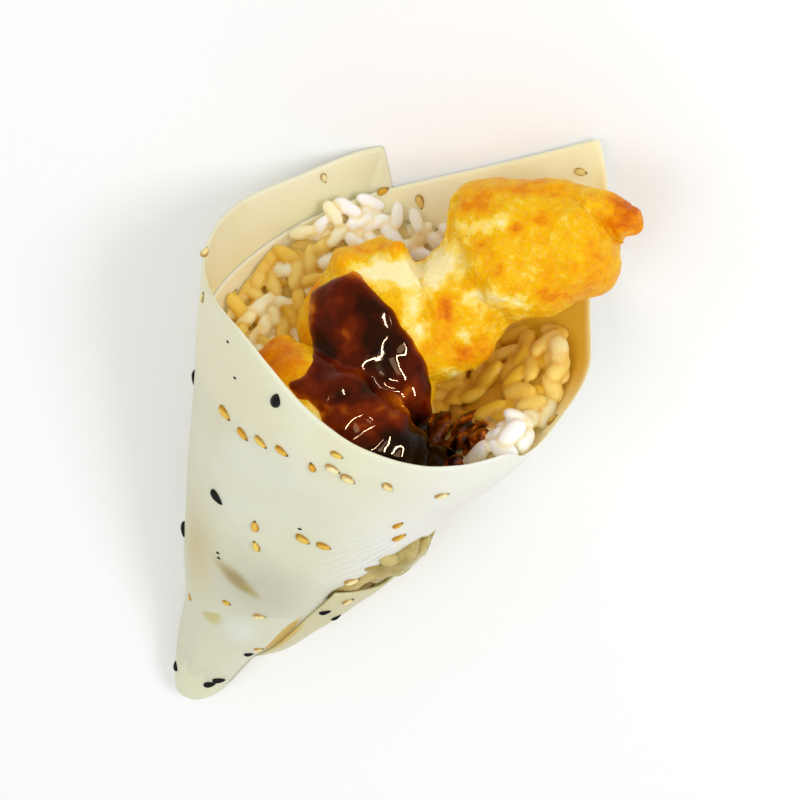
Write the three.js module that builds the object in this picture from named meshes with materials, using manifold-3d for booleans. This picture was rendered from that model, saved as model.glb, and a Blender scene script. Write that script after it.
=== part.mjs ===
// Temaki hand roll lying on its back: a cone of sesame soy paper round sushi
// rice, with two pieces of prawn tempura under a thick sweet soy sauce.
// Millimetres, +Z up. The mouth opens towards -Y, the pressed tip is at +Y.
//
// Everything is worked out in the cone's own frame and then laid down:
// e sideways, b towards the underside, s along the axis from the cone's apex.
// An angle round the cone is 0 at +e, 90 at the underside and -90 on top.
import * as THREE from 'three';
import { mergeVertices } from 'three/addons/utils/BufferGeometryUtils.js';
import Module from 'manifold-3d';

const wasm = await Module();
wasm.setup();

// ---------------------------------------------------------------- dimensions
const RAD = Math.PI / 180;
const HALF_WIDE = 15.75;      // half-angle of the cone, sideways (deg)
const HALF_DEEP = 13.70;      // half-angle of the cone, top to bottom (deg)
const PAPER = 0.40;           // thickness of the soy paper
const LAP = 0.90;             // growth of the spiral in one turn
const FLAT_DEPTH = 1.8;       // how far the underside is pressed flat
const GAP = 0.35;             // clearance between the rice and the paper
const CUT_GAP = 0.55;         // clearance cut round the tempura, less at the facets
const STEP = 12;              // facet of the cone, in degrees round its axis
const ORIGIN = [-0.3, 79.1];  // where the cone's apex lies, in x and y

// The sheet is a half sheet rolled round the middle of its lower long edge.
// Winding angles run down from START, inside, to END, outside.
const FLAT_PER_TURN = 0.2714; // degrees of flat sheet in one degree of winding
const START = 245;            // where the sheet begins, inside
const CORNER_IN = 67;         // the inner upper corner
const CORNER_OUT = -244;      // the outer upper corner
const END = -410;             // the last edge, outside
const SHORT_IN = 92.4;        // apex to the inner short edge
const SHORT_IN_TURN = 48.7;   // flat angle from there to the inner corner (deg)
const SHORT_OUT = 64.6;       // apex to the outer short edge, which slipped down
const SHORT_OUT_TURN = 12.9;  // flat angle from there to the last edge (deg)
const SHORT_OUT_DIP = 2.6;    // how far that edge sags between its ends
// the long upper edge between the corners: [winding angle, distance from apex]
const RIM = [[67, 140], [57, 134], [39, 121], [14, 114.5], [-6, 110], [-24, 108.6],
  [-37, 111.6], [-49, 108.2], [-60, 106.2], [-80, 106.2], [-95, 108.2], [-122, 112.6],
  [-145, 110.2], [-163, 108.8], [-182, 110.6], [-220, 114.2], [-244, 121]];
const LEAN = 1.6;             // how far the outer corner leans off the inner layer

// The gap at the lower right, where rice bulges out between the layers: its
// edges over the winding angle, as [winding angle, distance from apex].
const GAP_FROM = -50;
const GAP_TO = 22;
const GAP_UPPER = [[-50, 66], [-45, 69.5], [-41, 73], [-37, 78.5], [-28, 82], [-20, 81],
  [-8, 79], [6, 80], [22, 77]];
const GAP_LOWER = [[-50, 63], [-24, 62], [0, 63], [22, 68]];
const GAP_REACH = [4, 0.24];  // how far the cut goes inside and outside the paper

const TIP_END = 16;           // rounded end of the tip
const TIP_SLANT = 2.6;        // how much shorter the tip is on its right than in the middle
const TIP_TOP = 25;           // up to here the tip is pressed solid
const FOLD = 40;              // crease where the rice ends and the tip is empty
// profile of the tip: [distance from its end, share of the full section]
const TIP_PROFILE = [[0, 0.3], [0.8, 0.64], [2.2, 0.88], [5, 1], [TIP_TOP - TIP_END, 1]];

// sesame seeds on the paper: [winding angle, distance from apex, turn, length]
const SEEDS = [
  [-128, 93.4, 70, 3.2], [-118, 93.3, 65, 3.2], [-110, 95, 60, 3.1], [-102, 96.4, 75, 2.9],
  [-90, 97, 15, 2.6], [-84, 98.9, 50, 3], [-85, 102.5, 20, 2.6], [-78, 98.1, 25, 3],
  [-66, 99.3, 10, 2.8], [-101, 75.8, 20, 3], [-97, 71, 10, 2.8], [-80, 78.8, 30, 3.2],
  [-71, 79, 60, 3.1], [-51, 89, -30, 2.4], [-45, 84.9, 80, 2.8], [-45, 99, 80, 2.9],
  [-404, 60, 40, 2.6], [-387, 58.5, 30, 2.2], [-77, 53.3, 85, 2.4], [-102, 51.8, 70, 2.4],
  [-62, 43, 80, 2.2], [-164, 107, 30, 2.6],
  [-109, 106, -40, 3.1], [-124, 74.4, 60, 3.1], [-164, 86.8, 40, 3], [-164, 54.1, 30, 2.6],
  [-399, 57.6, 85, 2.8], [-374, 52.5, 40, 2.6], [-66, 37.6, -30, 2.8], [-164, 25, 30, 2.6],
  [-80, 27.8, 80, 2.6], [-66, 28.2, 40, 2.6],
  [-330, 62, 30, 3], [-322, 48, 80, 2.8], [35, 96, 20, 3], [42, 112, -30, 3],
  [-190, 96, 50, 3.1], [-198, 78, 10, 3], [-204, 62, 70, 2.8]];
const SEED_WIDTH = 0.58;      // width of a seed as a share of its length
const SEED_HEIGHT = 0.34;     // how far a seed stands out of the paper

// Prawn tempura, from the tail to the end that sinks into the rice. Each
// station is [e, b, s, half-width left, half-width right, half-thickness].
const LONG_PIECE = [
  [25.4, 15.5, 139.6, 1.8, 2.2, 1.8], [23, 15.5, 137.4, 4.2, 2.6, 2.8],
  [21.4, 15, 135.6, 6, 6.4, 5], [19.6, 14, 133.8, 7.4, 9.4, 7], [16.4, 13, 130.6, 9.6, 10.2, 8],
  [12.6, 11.5, 126.4, 12.8, 11, 8.5], [10.3, 10.5, 123, 12.6, 10, 8.5],
  [8.7, 9.5, 120.2, 9, 8.6, 6.8], [7.2, 8.5, 117.2, 7.4, 9.6, 6.6], [6, 7.2, 114.8, 7.8, 10.8, 7.4],
  [5.2, 6, 113.2, 13.6, 11, 7.8], [4.4, 5, 112, 15.4, 11.4, 8], [3.3, 3, 109.4, 16.4, 9.8, 9],
  [2.2, 1, 106, 16, 8.4, 9.6], [1.8, -1.5, 102.8, 14.6, 9.4, 9.6], [2, -4.5, 99.4, 10.6, 9, 8.6],
  [3, -7, 96.4, 7.6, 7.4, 6], [4.2, -8.5, 93.8, 4, 4, 3.4]];
const SHORT_PIECE = [
  [-14.8, -7, 97.6, 2.4, 2.4, 2.2], [-11.6, -9, 99.8, 5, 5, 4.4], [-5.8, -13, 100.2, 6.4, 6.4, 5.4],
  [1, -15, 100.4, 7, 7, 5.6], [8, -15, 100.6, 6, 6, 5], [12.2, -14, 101, 3.4, 3.4, 3]];
const SHOWN_SIDE = [0, -0.79, 0.62]; // in the cone frame, out of the mouth
const LUMPS = 26;             // lumps of batter on each piece
const LUMP_HEIGHT = [-0.35, 1.15];
const RIPPLE = 0.5;           // height of the finer ripple of the batter
const SAUCE = 0.8;            // thickness of the sauce on the batter
const LONG_FACETS = [28, 18]; // rings along and facets round each piece
const SHORT_FACETS = [16, 14];

// Rice: how far it fills the cone, and the size of one cooked grain.
const GRAIN = [6.6, 3.3, 2.9];
const RICE_BOTTOM = 41;
const RICE_HIGHEST = 116;     // the heap meets the paper no farther from the apex than this
const RICE_BULGE = 3.4;       // how far the rice swells out through the gap
const CORE_DEPTH = 0.6;       // how far the packed body lies under the grains
const GRAINS = 56;
const GRAIN_APART = 4.4;      // least distance between the middles of grains
// grains in the gap at the lower right: [angle, distance from apex, turn]
const GAP_GRAINS = [[-35, 75, 20], [-27, 78.5, 70], [-24, 73, -30], [-15, 76.5, 50], [-33, 69.5, 60],
  [-13, 70.5, 10], [-4, 74, 80]];

const ta = Math.tan(HALF_WIDE * RAD);
const tb = Math.tan(HALF_DEEP * RAD);
const sinT = Math.sin(HALF_DEEP * RAD);
const cosT = Math.cos(HALF_DEEP * RAD);

// ------------------------------------------------------------------- numbers
const clamp = (x, a, b) => Math.min(b, Math.max(a, x));
const bell = (x, w) => Math.exp(-(x * x) / (w * w));
const wrap = a => ((a + 180) % 360 + 360) % 360 - 180;
const sub = (a, b) => [a[0] - b[0], a[1] - b[1], a[2] - b[2]];
const dot = (a, b) => a[0] * b[0] + a[1] * b[1] + a[2] * b[2];
const cross = (a, b) =>
  [a[1] * b[2] - a[2] * b[1], a[2] * b[0] - a[0] * b[2], a[0] * b[1] - a[1] * b[0]];
const unit = a => a.map(x => x / Math.hypot(...a));
// p plus amounts of directions: along(p, [u, 2], [v, 3]) is p + 2u + 3v
const along = (p, ...moves) => p.map((x, k) => moves.reduce((t, [d, m]) => t + d[k] * m, x));

function smooth(a, b, x) {
  const t = clamp((x - a) / (b - a), 0, 1);
  return t * t * (3 - 2 * t);
}
function seeded(seed) {
  let a = seed >>> 0;
  return () => {
    a = (a + 0x6D2B79F5) >>> 0;
    let t = a;
    t = Math.imul(t ^ (t >>> 15), t | 1);
    t ^= t + Math.imul(t ^ (t >>> 7), t | 61);
    return ((t ^ (t >>> 14)) >>> 0) / 4294967296;
  };
}
// smooth curve through [place, value] pairs in rising or falling order
function through(table, x) {
  const n = table.length;
  const dir = table[0][0] < table[n - 1][0] ? 1 : -1;
  let i = 0;
  while (i < n - 2 && dir * (x - table[i + 1][0]) > 0) i++;
  const at = k => table[clamp(k, 0, n - 1)];
  const [x0, y0] = at(i);
  const [x1, y1] = at(i + 1);
  const t = clamp((x - x0) / (x1 - x0), 0, 1);
  const m0 = (y1 - at(i - 1)[1]) / (x1 - at(i - 1)[0]) * (x1 - x0);
  const m1 = (at(i + 2)[1] - y0) / (at(i + 2)[0] - x0) * (x1 - x0);
  const t2 = t * t;
  const t3 = t2 * t;
  return (2 * t3 - 3 * t2 + 1) * y0 + (t3 - 2 * t2 + t) * m0 + (3 * t2 - 2 * t3) * y1 + (t3 - t2) * m1;
}

// ------------------------------------------------------------ the cone's skin
const turnOff = phi => LAP * (-90 - phi) / 360;      // offset of the spiral
const LIFT = PAPER / 2 + turnOff(-270) - FLAT_DEPTH; // height of the lowest line
const toWorld = (e, b, s) => [-e, -(s * cosT + b * sinT), s * sinT - b * cosT + LIFT];

// offset of the outermost layer at an angle round the cone
function outermost(psi) {
  const p = wrap(psi);
  return turnOff(p < END + 360 ? p : p - 360);
}
// swells and dents of the wrapped cone, outwards
function swell(psi, s) {
  const p = wrap(psi);
  let d = 0.45 * bell(wrap(p - 185), 40) * bell(s - 82, 26);      // rice pushes the left side out
  d -= 1.0 * bell(wrap(p - 195), 45) * bell(s - FOLD, 9);         // crease, left side
  d -= 1.1 * bell(wrap(p + 90), 40) * bell(s - FOLD + 1, 4.5);    // crease, top
  d -= 0.9 * bell(wrap(p + 118), 12) * bell(s - 52, 5);           // dent beside the crease
  d += 0.6 * bell(wrap(p + 112), 16) * bell(s - 61, 6);           // grain ridge above the dent
  d -= 0.9 * bell(wrap(p + 16), 20) * bell(s - 88, 5);            // hollow above the gap
  d -= 2.7 * smooth(47, 31, s) * bell(wrap(p + 10), 62);          // tip pinched from the right
  d -= (1.0 * bell(s - 46, 6) + 2.3 * bell(s - 32, 7)) * bell(wrap(p + 12), 34); // and folded in
  d += 0.6 * bell(wrap(p + 14), 26) * bell(s - 66, 7);            // lower flap stands off
  d += 0.35 * Math.sin(p * 0.09 + s * 0.16) * smooth(60, 100, s); // waviness near the mouth
  return d;
}
// A point of the skin at an angle, a distance and an offset outwards. The
// underside is pressed flat where it would go below the level given.
function skin(psi, s, off, level) {
  const c = Math.cos(psi * RAD);
  const q = Math.sin(psi * RAD);
  const deep = q < 0 ? tb * (1 - 0.30 * smooth(FOLD + 2, FOLD - 16, s)) : tb;
  const normal = unit([c / ta, q / deep]);
  const o = off + swell(psi, s);
  const p = toWorld(s * ta * c + normal[0] * o, s * deep * q + normal[1] * o, s);
  p[2] = Math.max(p[2], level);
  return p;
}

// swelling of the rice through the gap, almost nothing at the gap's edges
function bulge(psi, s) {
  const p = wrap(psi);
  const low = through(GAP_LOWER, p);
  const high = through(GAP_UPPER, p);
  const round = smooth(GAP_FROM - 4, GAP_FROM + 24, p) * smooth(GAP_TO - 4, GAP_TO - 32, p);
  const across = (s - low - 0.66 * (high - low)) / (0.27 * (high - low));
  return RICE_BULGE * round * Math.exp(-(across ** 4));
}

// --------------------------------------------------------- meshes and joining
function toManifold([points, faces]) {
  const vertProperties = new Float32Array(points.flat());
  const triVerts = new Uint32Array(faces.flat());
  return new wasm.Manifold(new wasm.Mesh({ numProp: 3, vertProperties, triVerts }));
}
function toGeometry(solid) {
  const m = solid.getMesh();
  const pos = new Float32Array(m.numVert * 3);
  for (let i = 0; i < m.numVert; i++)
    for (let k = 0; k < 3; k++) pos[i * 3 + k] = m.vertProperties[i * m.numProp + k];
  const g = new THREE.BufferGeometry();
  g.setAttribute('position', new THREE.BufferAttribute(pos, 3));
  g.setIndex(Array.from(m.triVerts));
  return mergeVertices(g, 2e-3);
}
// keep only the largest body of a solid
function largest(solid) {
  return solid.decompose().sort((a, b) => b.volume() - a.volume())[0];
}
// turn the faces so that the volume is positive
function outward(pts, faces) {
  const volume = faces.reduce((v, [a, b, c]) => v + dot(pts[a], cross(pts[b], pts[c])), 0);
  return [pts, volume < 0 ? faces.map(([a, b, c]) => [a, c, b]) : faces];
}
// closed body from rings of equal length, each end closed by a fan to its pole
function loft(rings, poles) {
  const n = rings[0].length;
  const pts = rings.flat();
  const faces = [];
  for (let i = 0; i + 1 < rings.length; i++)
    for (let j = 0; j < n; j++) {
      const a = i * n + j;
      const b = i * n + (j + 1) % n;
      faces.push([a, b, b + n], [a, b + n, a + n]);
    }
  const middle = ring => [0, 1, 2].map(k => ring.reduce((t, p) => t + p[k], 0) / n);
  [0, rings.length - 1].forEach((row, end) => {
    const pole = pts.push(poles ? poles[end] : middle(rings[row])) - 1;
    for (let j = 0; j < n; j++) {
      const a = row * n + j;
      const b = row * n + (j + 1) % n;
      faces.push(end ? [a, b, pole] : [b, a, pole]);
    }
  });
  return outward(pts, faces);
}
// an egg with half-axes lu, lv and lw along u, v and w
function egg(centre, [u, v, w], [lu, lv, lw], around = 5, rows = 4) {
  const rings = [];
  for (let i = 1; i < rows; i++) {
    const a = Math.PI * i / rows;
    const ring = [];
    for (let j = 0; j < around; j++) {
      const b = 2 * Math.PI * (j + 0.5 * (i % 2)) / around;
      const r = Math.sin(a);
      ring.push(along(centre, [u, lu * Math.cos(a)], [v, lv * r * Math.cos(b)], [w, lw * r * Math.sin(b)]));
    }
    rings.push(ring);
  }
  return toManifold(loft(rings, [along(centre, [u, lu]), along(centre, [u, -lu])]));
}

// ------------------------------------------------------------------- wrapper
function sheetTop(phi) {
  if (phi > CORNER_IN) return SHORT_IN / Math.cos((SHORT_IN_TURN - (phi - CORNER_IN) * FLAT_PER_TURN) * RAD);
  const turned = (SHORT_OUT_TURN + (phi - END) * FLAT_PER_TURN) * RAD;
  if (phi < CORNER_OUT) return SHORT_OUT / Math.cos(turned) - SHORT_OUT_DIP * bell(phi + 370, 20);
  return through(RIM, phi);
}
// winding angles of the sheet's columns, with its corners among them
function columns() {
  const kept = [CORNER_IN, CORNER_OUT, END];
  const all = [...kept];
  for (let phi = START; phi > END; phi -= STEP) all.push(phi);
  all.sort((a, b) => b - a);
  return all.filter((p, i) => i === 0 || all[i - 1] - p > STEP * 0.3 || kept.includes(p));
}
// the rolled sheet, both faces split alike
function buildSheet() {
  const rows = 9;
  const low = TIP_TOP - 6;
  const phis = columns();
  const faces = [];
  const sides = [[], []];
  for (const phi of phis)
    for (let i = 0; i <= rows; i++) {
      const s = low + (sheetTop(phi) - low) * (i / rows);
      const leant = LEAN * smooth(-196, -240, phi) * smooth(96, 122, s);
      const off = turnOff(phi) + leant;
      const level = phi > -90 ? LAP : 0;
      sides[0].push(skin(phi, s, off - PAPER / 2, level + PAPER));
      sides[1].push(skin(phi, s, off + PAPER / 2, level));
    }
  const n = sides[0].length;
  const w = rows + 1;
  const last = phis.length - 1;
  for (let c = 0; c < last; c++)
    for (let r = 0; r < rows; r++) {
      const a = c * w + r;
      const b = a + w;
      faces.push([a, a + 1, b + 1], [a, b + 1, b]);
      faces.push([n + a, n + b + 1, n + a + 1], [n + a, n + b, n + b + 1]);
    }
  const rim = [];
  for (let r = 0; r < rows; r++) rim.push([r, r + 1]);
  for (let c = 0; c < last; c++) rim.push([c * w + rows, (c + 1) * w + rows]);
  for (let r = rows; r > 0; r--) rim.push([last * w + r, last * w + r - 1]);
  for (let c = last; c > 0; c--) rim.push([c * w, (c - 1) * w]);
  for (const [a, b] of rim) faces.push([b, a, n + a], [b, n + a, n + b]);
  return toManifold(outward([...sides[0], ...sides[1]], faces));
}
// what is cut away where the rice bulges out between the layers
function gapCutter() {
  const [inner, outer] = GAP_REACH;
  const rings = [];
  for (let p = GAP_FROM; p <= GAP_TO; p += STEP / 2) {
    const low = through(GAP_LOWER, p);
    const high = through(GAP_UPPER, p);
    const side = (k, off, level) => skin(p, low + (high - low) * k, turnOff(p) + off, level);
    rings.push([0, 0.5, 1].map(k => side(k, -inner, LAP))
      .concat([1, 0.5, 0].map(k => side(k, PAPER / 2 + outer, LAP - outer))));
  }
  return toManifold(loft(rings));
}
// the tip, pressed solid
function buildTip() {
  const rings = TIP_PROFILE.map(([up, share]) => {
    const mid = toWorld(0, 0, TIP_END + up);
    const slant = TIP_SLANT * (1 - up / (TIP_TOP - TIP_END));
    const ring = [];
    for (let psi = START; psi > START - 360; psi -= STEP) {
      const s = TIP_END + up + slant * Math.cos(psi * RAD);
      const p = skin(psi, s, outermost(psi) + PAPER / 2 - 0.04, 0);
      const q = along(mid, [sub(p, mid), share]);
      q[2] = Math.max(q[2], 0);
      ring.push(q);
    }
    return ring;
  });
  return toManifold(loft(rings));
}
function buildSeed([phi, s, turn, length]) {
  const on = (p, d) => skin(p, d, turnOff(phi) + PAPER / 2, 0);
  const at = on(phi, s);
  const up = unit(sub(on(phi, s + 1), at));
  const normal = unit(cross(up, sub(on(phi + 2, s), at)));
  const u = along([0, 0, 0], [up, Math.cos(turn * RAD)], [cross(normal, up), Math.sin(turn * RAD)]);
  return egg(at, [u, cross(normal, u), normal], [length / 2, length / 2 * SEED_WIDTH, SEED_HEIGHT]);
}
function buildWrapper() {
  const paper = buildSheet().subtract(gapCutter()).add(buildTip());
  return largest(SEEDS.reduce((solid, seed) => solid.add(buildSeed(seed)), paper));
}

// ------------------------------------------------------------------- tempura
// the station at a share t of the way along a piece
function stationAt(piece, t) {
  const last = piece.length - 1;
  return piece[0].map((_, k) => through(piece.map((p, i) => [i / last, p[k]]), t));
}
// directions at a share t: along the piece, to the side that shows, to the left
function directions(piece, t) {
  const back = stationAt(piece, clamp(t - 0.03, 0, 1));
  const ahead = stationAt(piece, clamp(t + 0.03, 0, 1));
  const forward = unit(sub(ahead, back));
  const shown = unit(along(SHOWN_SIDE, [forward, -dot(SHOWN_SIDE, forward)]));
  return [forward, shown, cross(forward, shown)];
}
// The skin of a battered piece at a share t and an angle from the side that
// shows, in the cone frame. The sauce is a function of the same two values.
function batter(piece, seed, sauced) {
  const rnd = seeded(seed);
  const [least, most] = LUMP_HEIGHT;
  const lumps = Array.from({ length: LUMPS }, () =>
    [rnd(), rnd() * 360, 0.05 + 0.06 * rnd(), 22 + 26 * rnd(), rnd() * (most - least) + least]);
  return (t, ang, extra) => {
    const [e, b, s, left, right, thick] = stationAt(piece, t);
    const [, shown, leftward] = directions(piece, t);
    const c = Math.cos(ang * RAD) * thick;
    const q = Math.sin(ang * RAD) * (wrap(ang) > 0 ? left : right);
    const r = Math.hypot(c, q);
    let d = RIPPLE * Math.sin(ang * RAD * 3 + t * 23 + seed) * Math.sin(t * 17 + seed);
    for (const [kt, ka, wt, wa, h] of lumps) d += h * bell(t - kt, wt) * bell(wrap(ang - ka), wa);
    const grow = (r + d * Math.min(1, r / 5) + SAUCE * sauced(t, ang) + extra) / r;
    return along([e, b, s], [shown, c * grow], [leftward, q * grow]);
  };
}
// a closed piece with rounded ends, larger all round by extra
function buildPiece([piece, shape, [rings, around]], extra = 0) {
  const rows = [];
  const ring = (t, shrink, push) => {
    const mid = stationAt(piece, t).slice(0, 3);
    const [forward] = directions(piece, t);
    const row = [];
    for (let j = 0; j < around; j++) {
      const p = shape(t, 360 * (j + 0.5 * (rows.length % 2)) / around, extra);
      row.push(toWorld(...along(mid, [sub(p, mid), shrink], [forward, push])));
    }
    rows.push(row);
  };
  const head = piece[0][5] + extra;
  const tail = piece[piece.length - 1][5] + extra;
  ring(0, 0.35, -head * 0.75);
  ring(0, 0.75, -head * 0.5);
  for (let i = 0; i <= rings; i++) ring(i / rings, 1, 0);
  ring(1, 0.75, tail * 0.5);
  ring(1, 0.35, tail * 0.75);
  return toManifold(loft(rows));
}
// the sauce lies over the sunk third of the long piece and most of the short one
const onLong = (t, ang) =>
  smooth(0.71, 0.77, t - 0.05 * smooth(0, -60, wrap(ang))) * smooth(125, 95, Math.abs(wrap(ang)));
const onShort = (t, ang) => smooth(0.22, 0.36, t) * smooth(120, 90, Math.abs(wrap(ang)));
const LONG = [LONG_PIECE, batter(LONG_PIECE, 11, onLong), LONG_FACETS];
const SHORT = [SHORT_PIECE, batter(SHORT_PIECE, 5, onShort), SHORT_FACETS];

// ---------------------------------------------------------------------- rice
// height of the rice along the axis over a spot (e, b) of the mouth
function riceTop(e, b) {
  let h = 97.5 + 0.33 * b;
  h += 7 * bell(e + 17, 8) * bell(b - 22, 9);        // heap at the back, left
  h += 9 * bell(e + 1, 9) * bell(b - 28, 8);         // heap at the back, middle
  h += 13 * smooth(10, 27, e) * bell(b - 12, 13);    // heap leaning on the right wall
  h += 13 * bell(e - 25, 6) * bell(b + 8, 8);        // grains that stand up at the right front
  h -= 3 * bell(e + 24, 7) * bell(b - 4, 12);        // hollow along the left wall
  h -= 4 * bell(e - 14, 7) * bell(b - 10, 9);        // hollow under the long piece
  h += 5 * bell(e + 8, 14) * bell(b + 22, 8);        // heap along the front rim
  h -= 5 * bell(e - 12, 5) * bell(b + 8, 6);         // hollow where the sauce runs down
  return h;
}
const FILL = 0.96;            // the rice stays this share of the way to the paper
// the spot of the mouth at an angle and a distance, pulled in to a share k
const spot = (psi, s, k) => [s * ta * Math.cos(psi * RAD) * k, s * tb * Math.sin(psi * RAD) * k];

// distance at which the surface of the rice meets the paper
function riceRim(psi) {
  let s = 100;
  for (let i = 0; i < 6; i++) s = riceTop(...spot(psi, s, FILL));
  return Math.min(s, RICE_HIGHEST);
}

// inside face of the innermost layer at this angle, less the clearance; the
// step where the sheet begins is eased over a few degrees
function inside(psi, s, off) {
  const p = wrap(psi);
  const eased = turnOff(p) + (turnOff(START) - turnOff(p)) * smooth(-106, -114, p);
  const inner = p < START - 360 ? turnOff(p + 360) : eased;
  return skin(p, s, inner - PAPER / 2 - GAP + off, LAP + PAPER + GAP - off);
}
// distances of the rings up the side of the rice: three of them in the gap
function riceSteps(psi, extraTop) {
  const low = through(GAP_LOWER, wrap(psi));
  const high = through(GAP_UPPER, wrap(psi));
  const rim = riceRim(psi) + extraTop;
  const between = (a, b, share) => a + (b - a) * share;
  return [
    RICE_BOTTOM, RICE_BOTTOM + 3.2, between(RICE_BOTTOM, low, 0.6), low,
    between(low, high, 0.36), between(low, high, 0.66), between(low, high, 0.98),
    between(high, rim, 0.35), between(high, rim, 0.7), rim,
  ];
}
// the packed body: rings up the inside of the paper, then over the top
function riceCore(extraTop, off) {
  const angles = Array.from({ length: 360 / STEP }, (_, j) => START + STEP * j);
  const rows = [];
  for (let i = 0; i < riceSteps(0, 0).length; i++)
    rows.push(angles.map(psi => {
      const s = riceSteps(psi, extraTop)[i];
      const rounded = -4.5 * bell(s - RICE_BOTTOM, 3);
      return inside(psi, s, off + rounded + bulge(psi, s));
    }));
  for (const k of [0.82, 0.6, 0.36, 0.14])
    rows.push(angles.map(psi => {
      const [e, b] = spot(psi, riceRim(psi), k * FILL);
      return toWorld(e, b, riceTop(e, b) + extraTop);
    }));
  return toManifold(loft(rows));
}
// distance from a point to the skin of a piece, by its mean half-width
function clearOf(piece, p) {
  let best = Infinity;
  for (let t = 0; t <= 1.001; t += 0.04) {
    const q = stationAt(piece, t);
    best = Math.min(best, Math.hypot(...sub(p, q)) - (q[3] + q[4] + 2 * q[5]) / 4);
  }
  return best;
}
function buildGrain(centre, axis, up, size) {
  const u = unit(axis);
  const w = unit(cross(u, up));
  return egg(centre, [u, cross(w, u), w], GRAIN.map(x => x / 2 * size));
}
// grains on top of the heap, spread evenly and clear of the tempura
function topGrains() {
  const rnd = seeded(29);
  const grains = [];
  const placed = [];
  const turned = (e, b, s) => sub(toWorld(e, b, s), toWorld(0, 0, 0));
  for (let tries = 0; tries < 4000 && grains.length < GRAINS; tries++) {
    const [e, b] = spot(360 * rnd(), 104, Math.sqrt(rnd()) * 0.93);
    const c = [e, b, riceTop(e, b) + 0.5 * rnd() - 0.1];
    const yaw = 360 * rnd() * RAD;
    const tilt = (rnd() - 0.5) * 1.1;
    const size = 0.88 + 0.24 * rnd();
    if (Math.hypot(e / (c[2] * ta), b / (c[2] * tb)) > 0.93) continue;
    if (clearOf(LONG_PIECE, c) < 1.2 || clearOf(SHORT_PIECE, c) < 1.2) continue;
    if (placed.some(q => Math.hypot(...sub(q, c)) < GRAIN_APART)) continue;
    placed.push(c);
    const axis = turned(Math.cos(yaw) * Math.cos(tilt), Math.sin(yaw) * Math.cos(tilt), Math.sin(tilt));
    grains.push(buildGrain(toWorld(...c), axis, turned(0, 0, 1), size));
  }
  return grains;
}
function gapGrains() {
  return GAP_GRAINS.map(([psi, s, turn]) => {
    const at = inside(psi, s, bulge(psi, s) - 1.3);
    const up = unit(sub(inside(psi, s + 1, 0), inside(psi, s, 0)));
    const round = unit(sub(inside(psi + 3, s, 0), inside(psi, s, 0)));
    const axis = along([0, 0, 0], [up, Math.cos(turn * RAD)], [round, Math.sin(turn * RAD)]);
    return buildGrain(at, axis, cross(up, round), 1);
  });
}
function buildRice() {
  let solid = riceCore(0, -CORE_DEPTH);
  for (const grain of [...topGrains(), ...gapGrains()]) solid = solid.add(grain);
  solid = solid.intersect(riceCore(9, 0));
  for (const piece of [LONG, SHORT]) solid = solid.subtract(buildPiece(piece, CUT_GAP));
  return largest(solid);
}

// ---------------------------------------------------------------------- build
function named(name, solid, color, roughness) {
  const geometry = toGeometry(solid);
  geometry.computeVertexNormals();
  const mesh = new THREE.Mesh(geometry, new THREE.MeshStandardMaterial({ color, roughness }));
  mesh.name = name;
  return mesh;
}
const shortPiece = largest(buildPiece(SHORT).subtract(buildPiece(LONG, CUT_GAP)));
const group = new THREE.Group();
group.name = 'temaki_hand_roll';
group.position.set(...ORIGIN, 0);
group.add(
  named('wrapper', buildWrapper(), 0xe9e6d2, 0.55),
  named('rice', buildRice(), 0xf2efe2, 0.45),
  named('tempura_long', buildPiece(LONG), 0xd99a3c, 0.6),
  named('tempura_short', shortPiece, 0xd08a2c, 0.6),
);
export default group;
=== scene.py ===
"""Temaki hand roll lying on its back: looks for the CAD frame.

Lengths in this file are millimetres in the cone frame (e sideways, b towards
the underside, s along the axis from the apex) until `to_world` turns them into
the metres of the shared frame. Pixels are of the 800 x 800 photograph frame and
are only used to say where on a surface something lies.
"""
import math
import random

import bmesh
import bpy
import numpy as np
from mathutils import Matrix, Vector
from mathutils.bvhtree import BVHTree
from mathutils.kdtree import KDTree


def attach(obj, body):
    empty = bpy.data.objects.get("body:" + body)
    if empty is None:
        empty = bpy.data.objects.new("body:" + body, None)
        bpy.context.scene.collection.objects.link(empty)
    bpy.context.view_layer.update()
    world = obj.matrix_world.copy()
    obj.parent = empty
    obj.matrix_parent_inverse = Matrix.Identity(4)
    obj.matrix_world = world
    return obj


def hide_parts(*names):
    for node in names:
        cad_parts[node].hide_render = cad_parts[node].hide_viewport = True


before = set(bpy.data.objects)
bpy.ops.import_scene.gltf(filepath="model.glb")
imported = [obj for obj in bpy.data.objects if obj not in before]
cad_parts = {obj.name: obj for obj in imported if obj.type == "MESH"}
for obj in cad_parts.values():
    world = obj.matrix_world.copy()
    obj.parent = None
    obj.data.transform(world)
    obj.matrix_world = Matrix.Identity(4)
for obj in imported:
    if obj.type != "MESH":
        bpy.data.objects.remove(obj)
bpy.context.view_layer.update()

# ---- sizes: lengths in mm, angles in degrees where they aren't turned into radians
MM = 0.001
HALF_WIDE, HALF_DEEP = math.radians(15.75), math.radians(13.70)    # half-angles of the cone
PAPER, LAP = 0.40, 0.90            # thickness, and how far a turn lies outside the one before
FLAT_DEPTH, GAP = 1.8, 0.35        # how far the underside is pressed flat; room round the rice
# the sheet by winding angle, from its inner edge to its outer one
START, CORNER_IN, CORNER_OUT, END = 245, 67, -244, -410
FLAT_PER_TURN = 0.2714             # degrees of flat sheet in one degree of winding
SHORT_IN, SHORT_IN_TURN = 92.4, 48.7          # the short edges: distance from the apex,
SHORT_OUT, SHORT_OUT_TURN, SHORT_OUT_DIP = 64.6, 12.9, 2.6    # flat angle, and hollow
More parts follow.
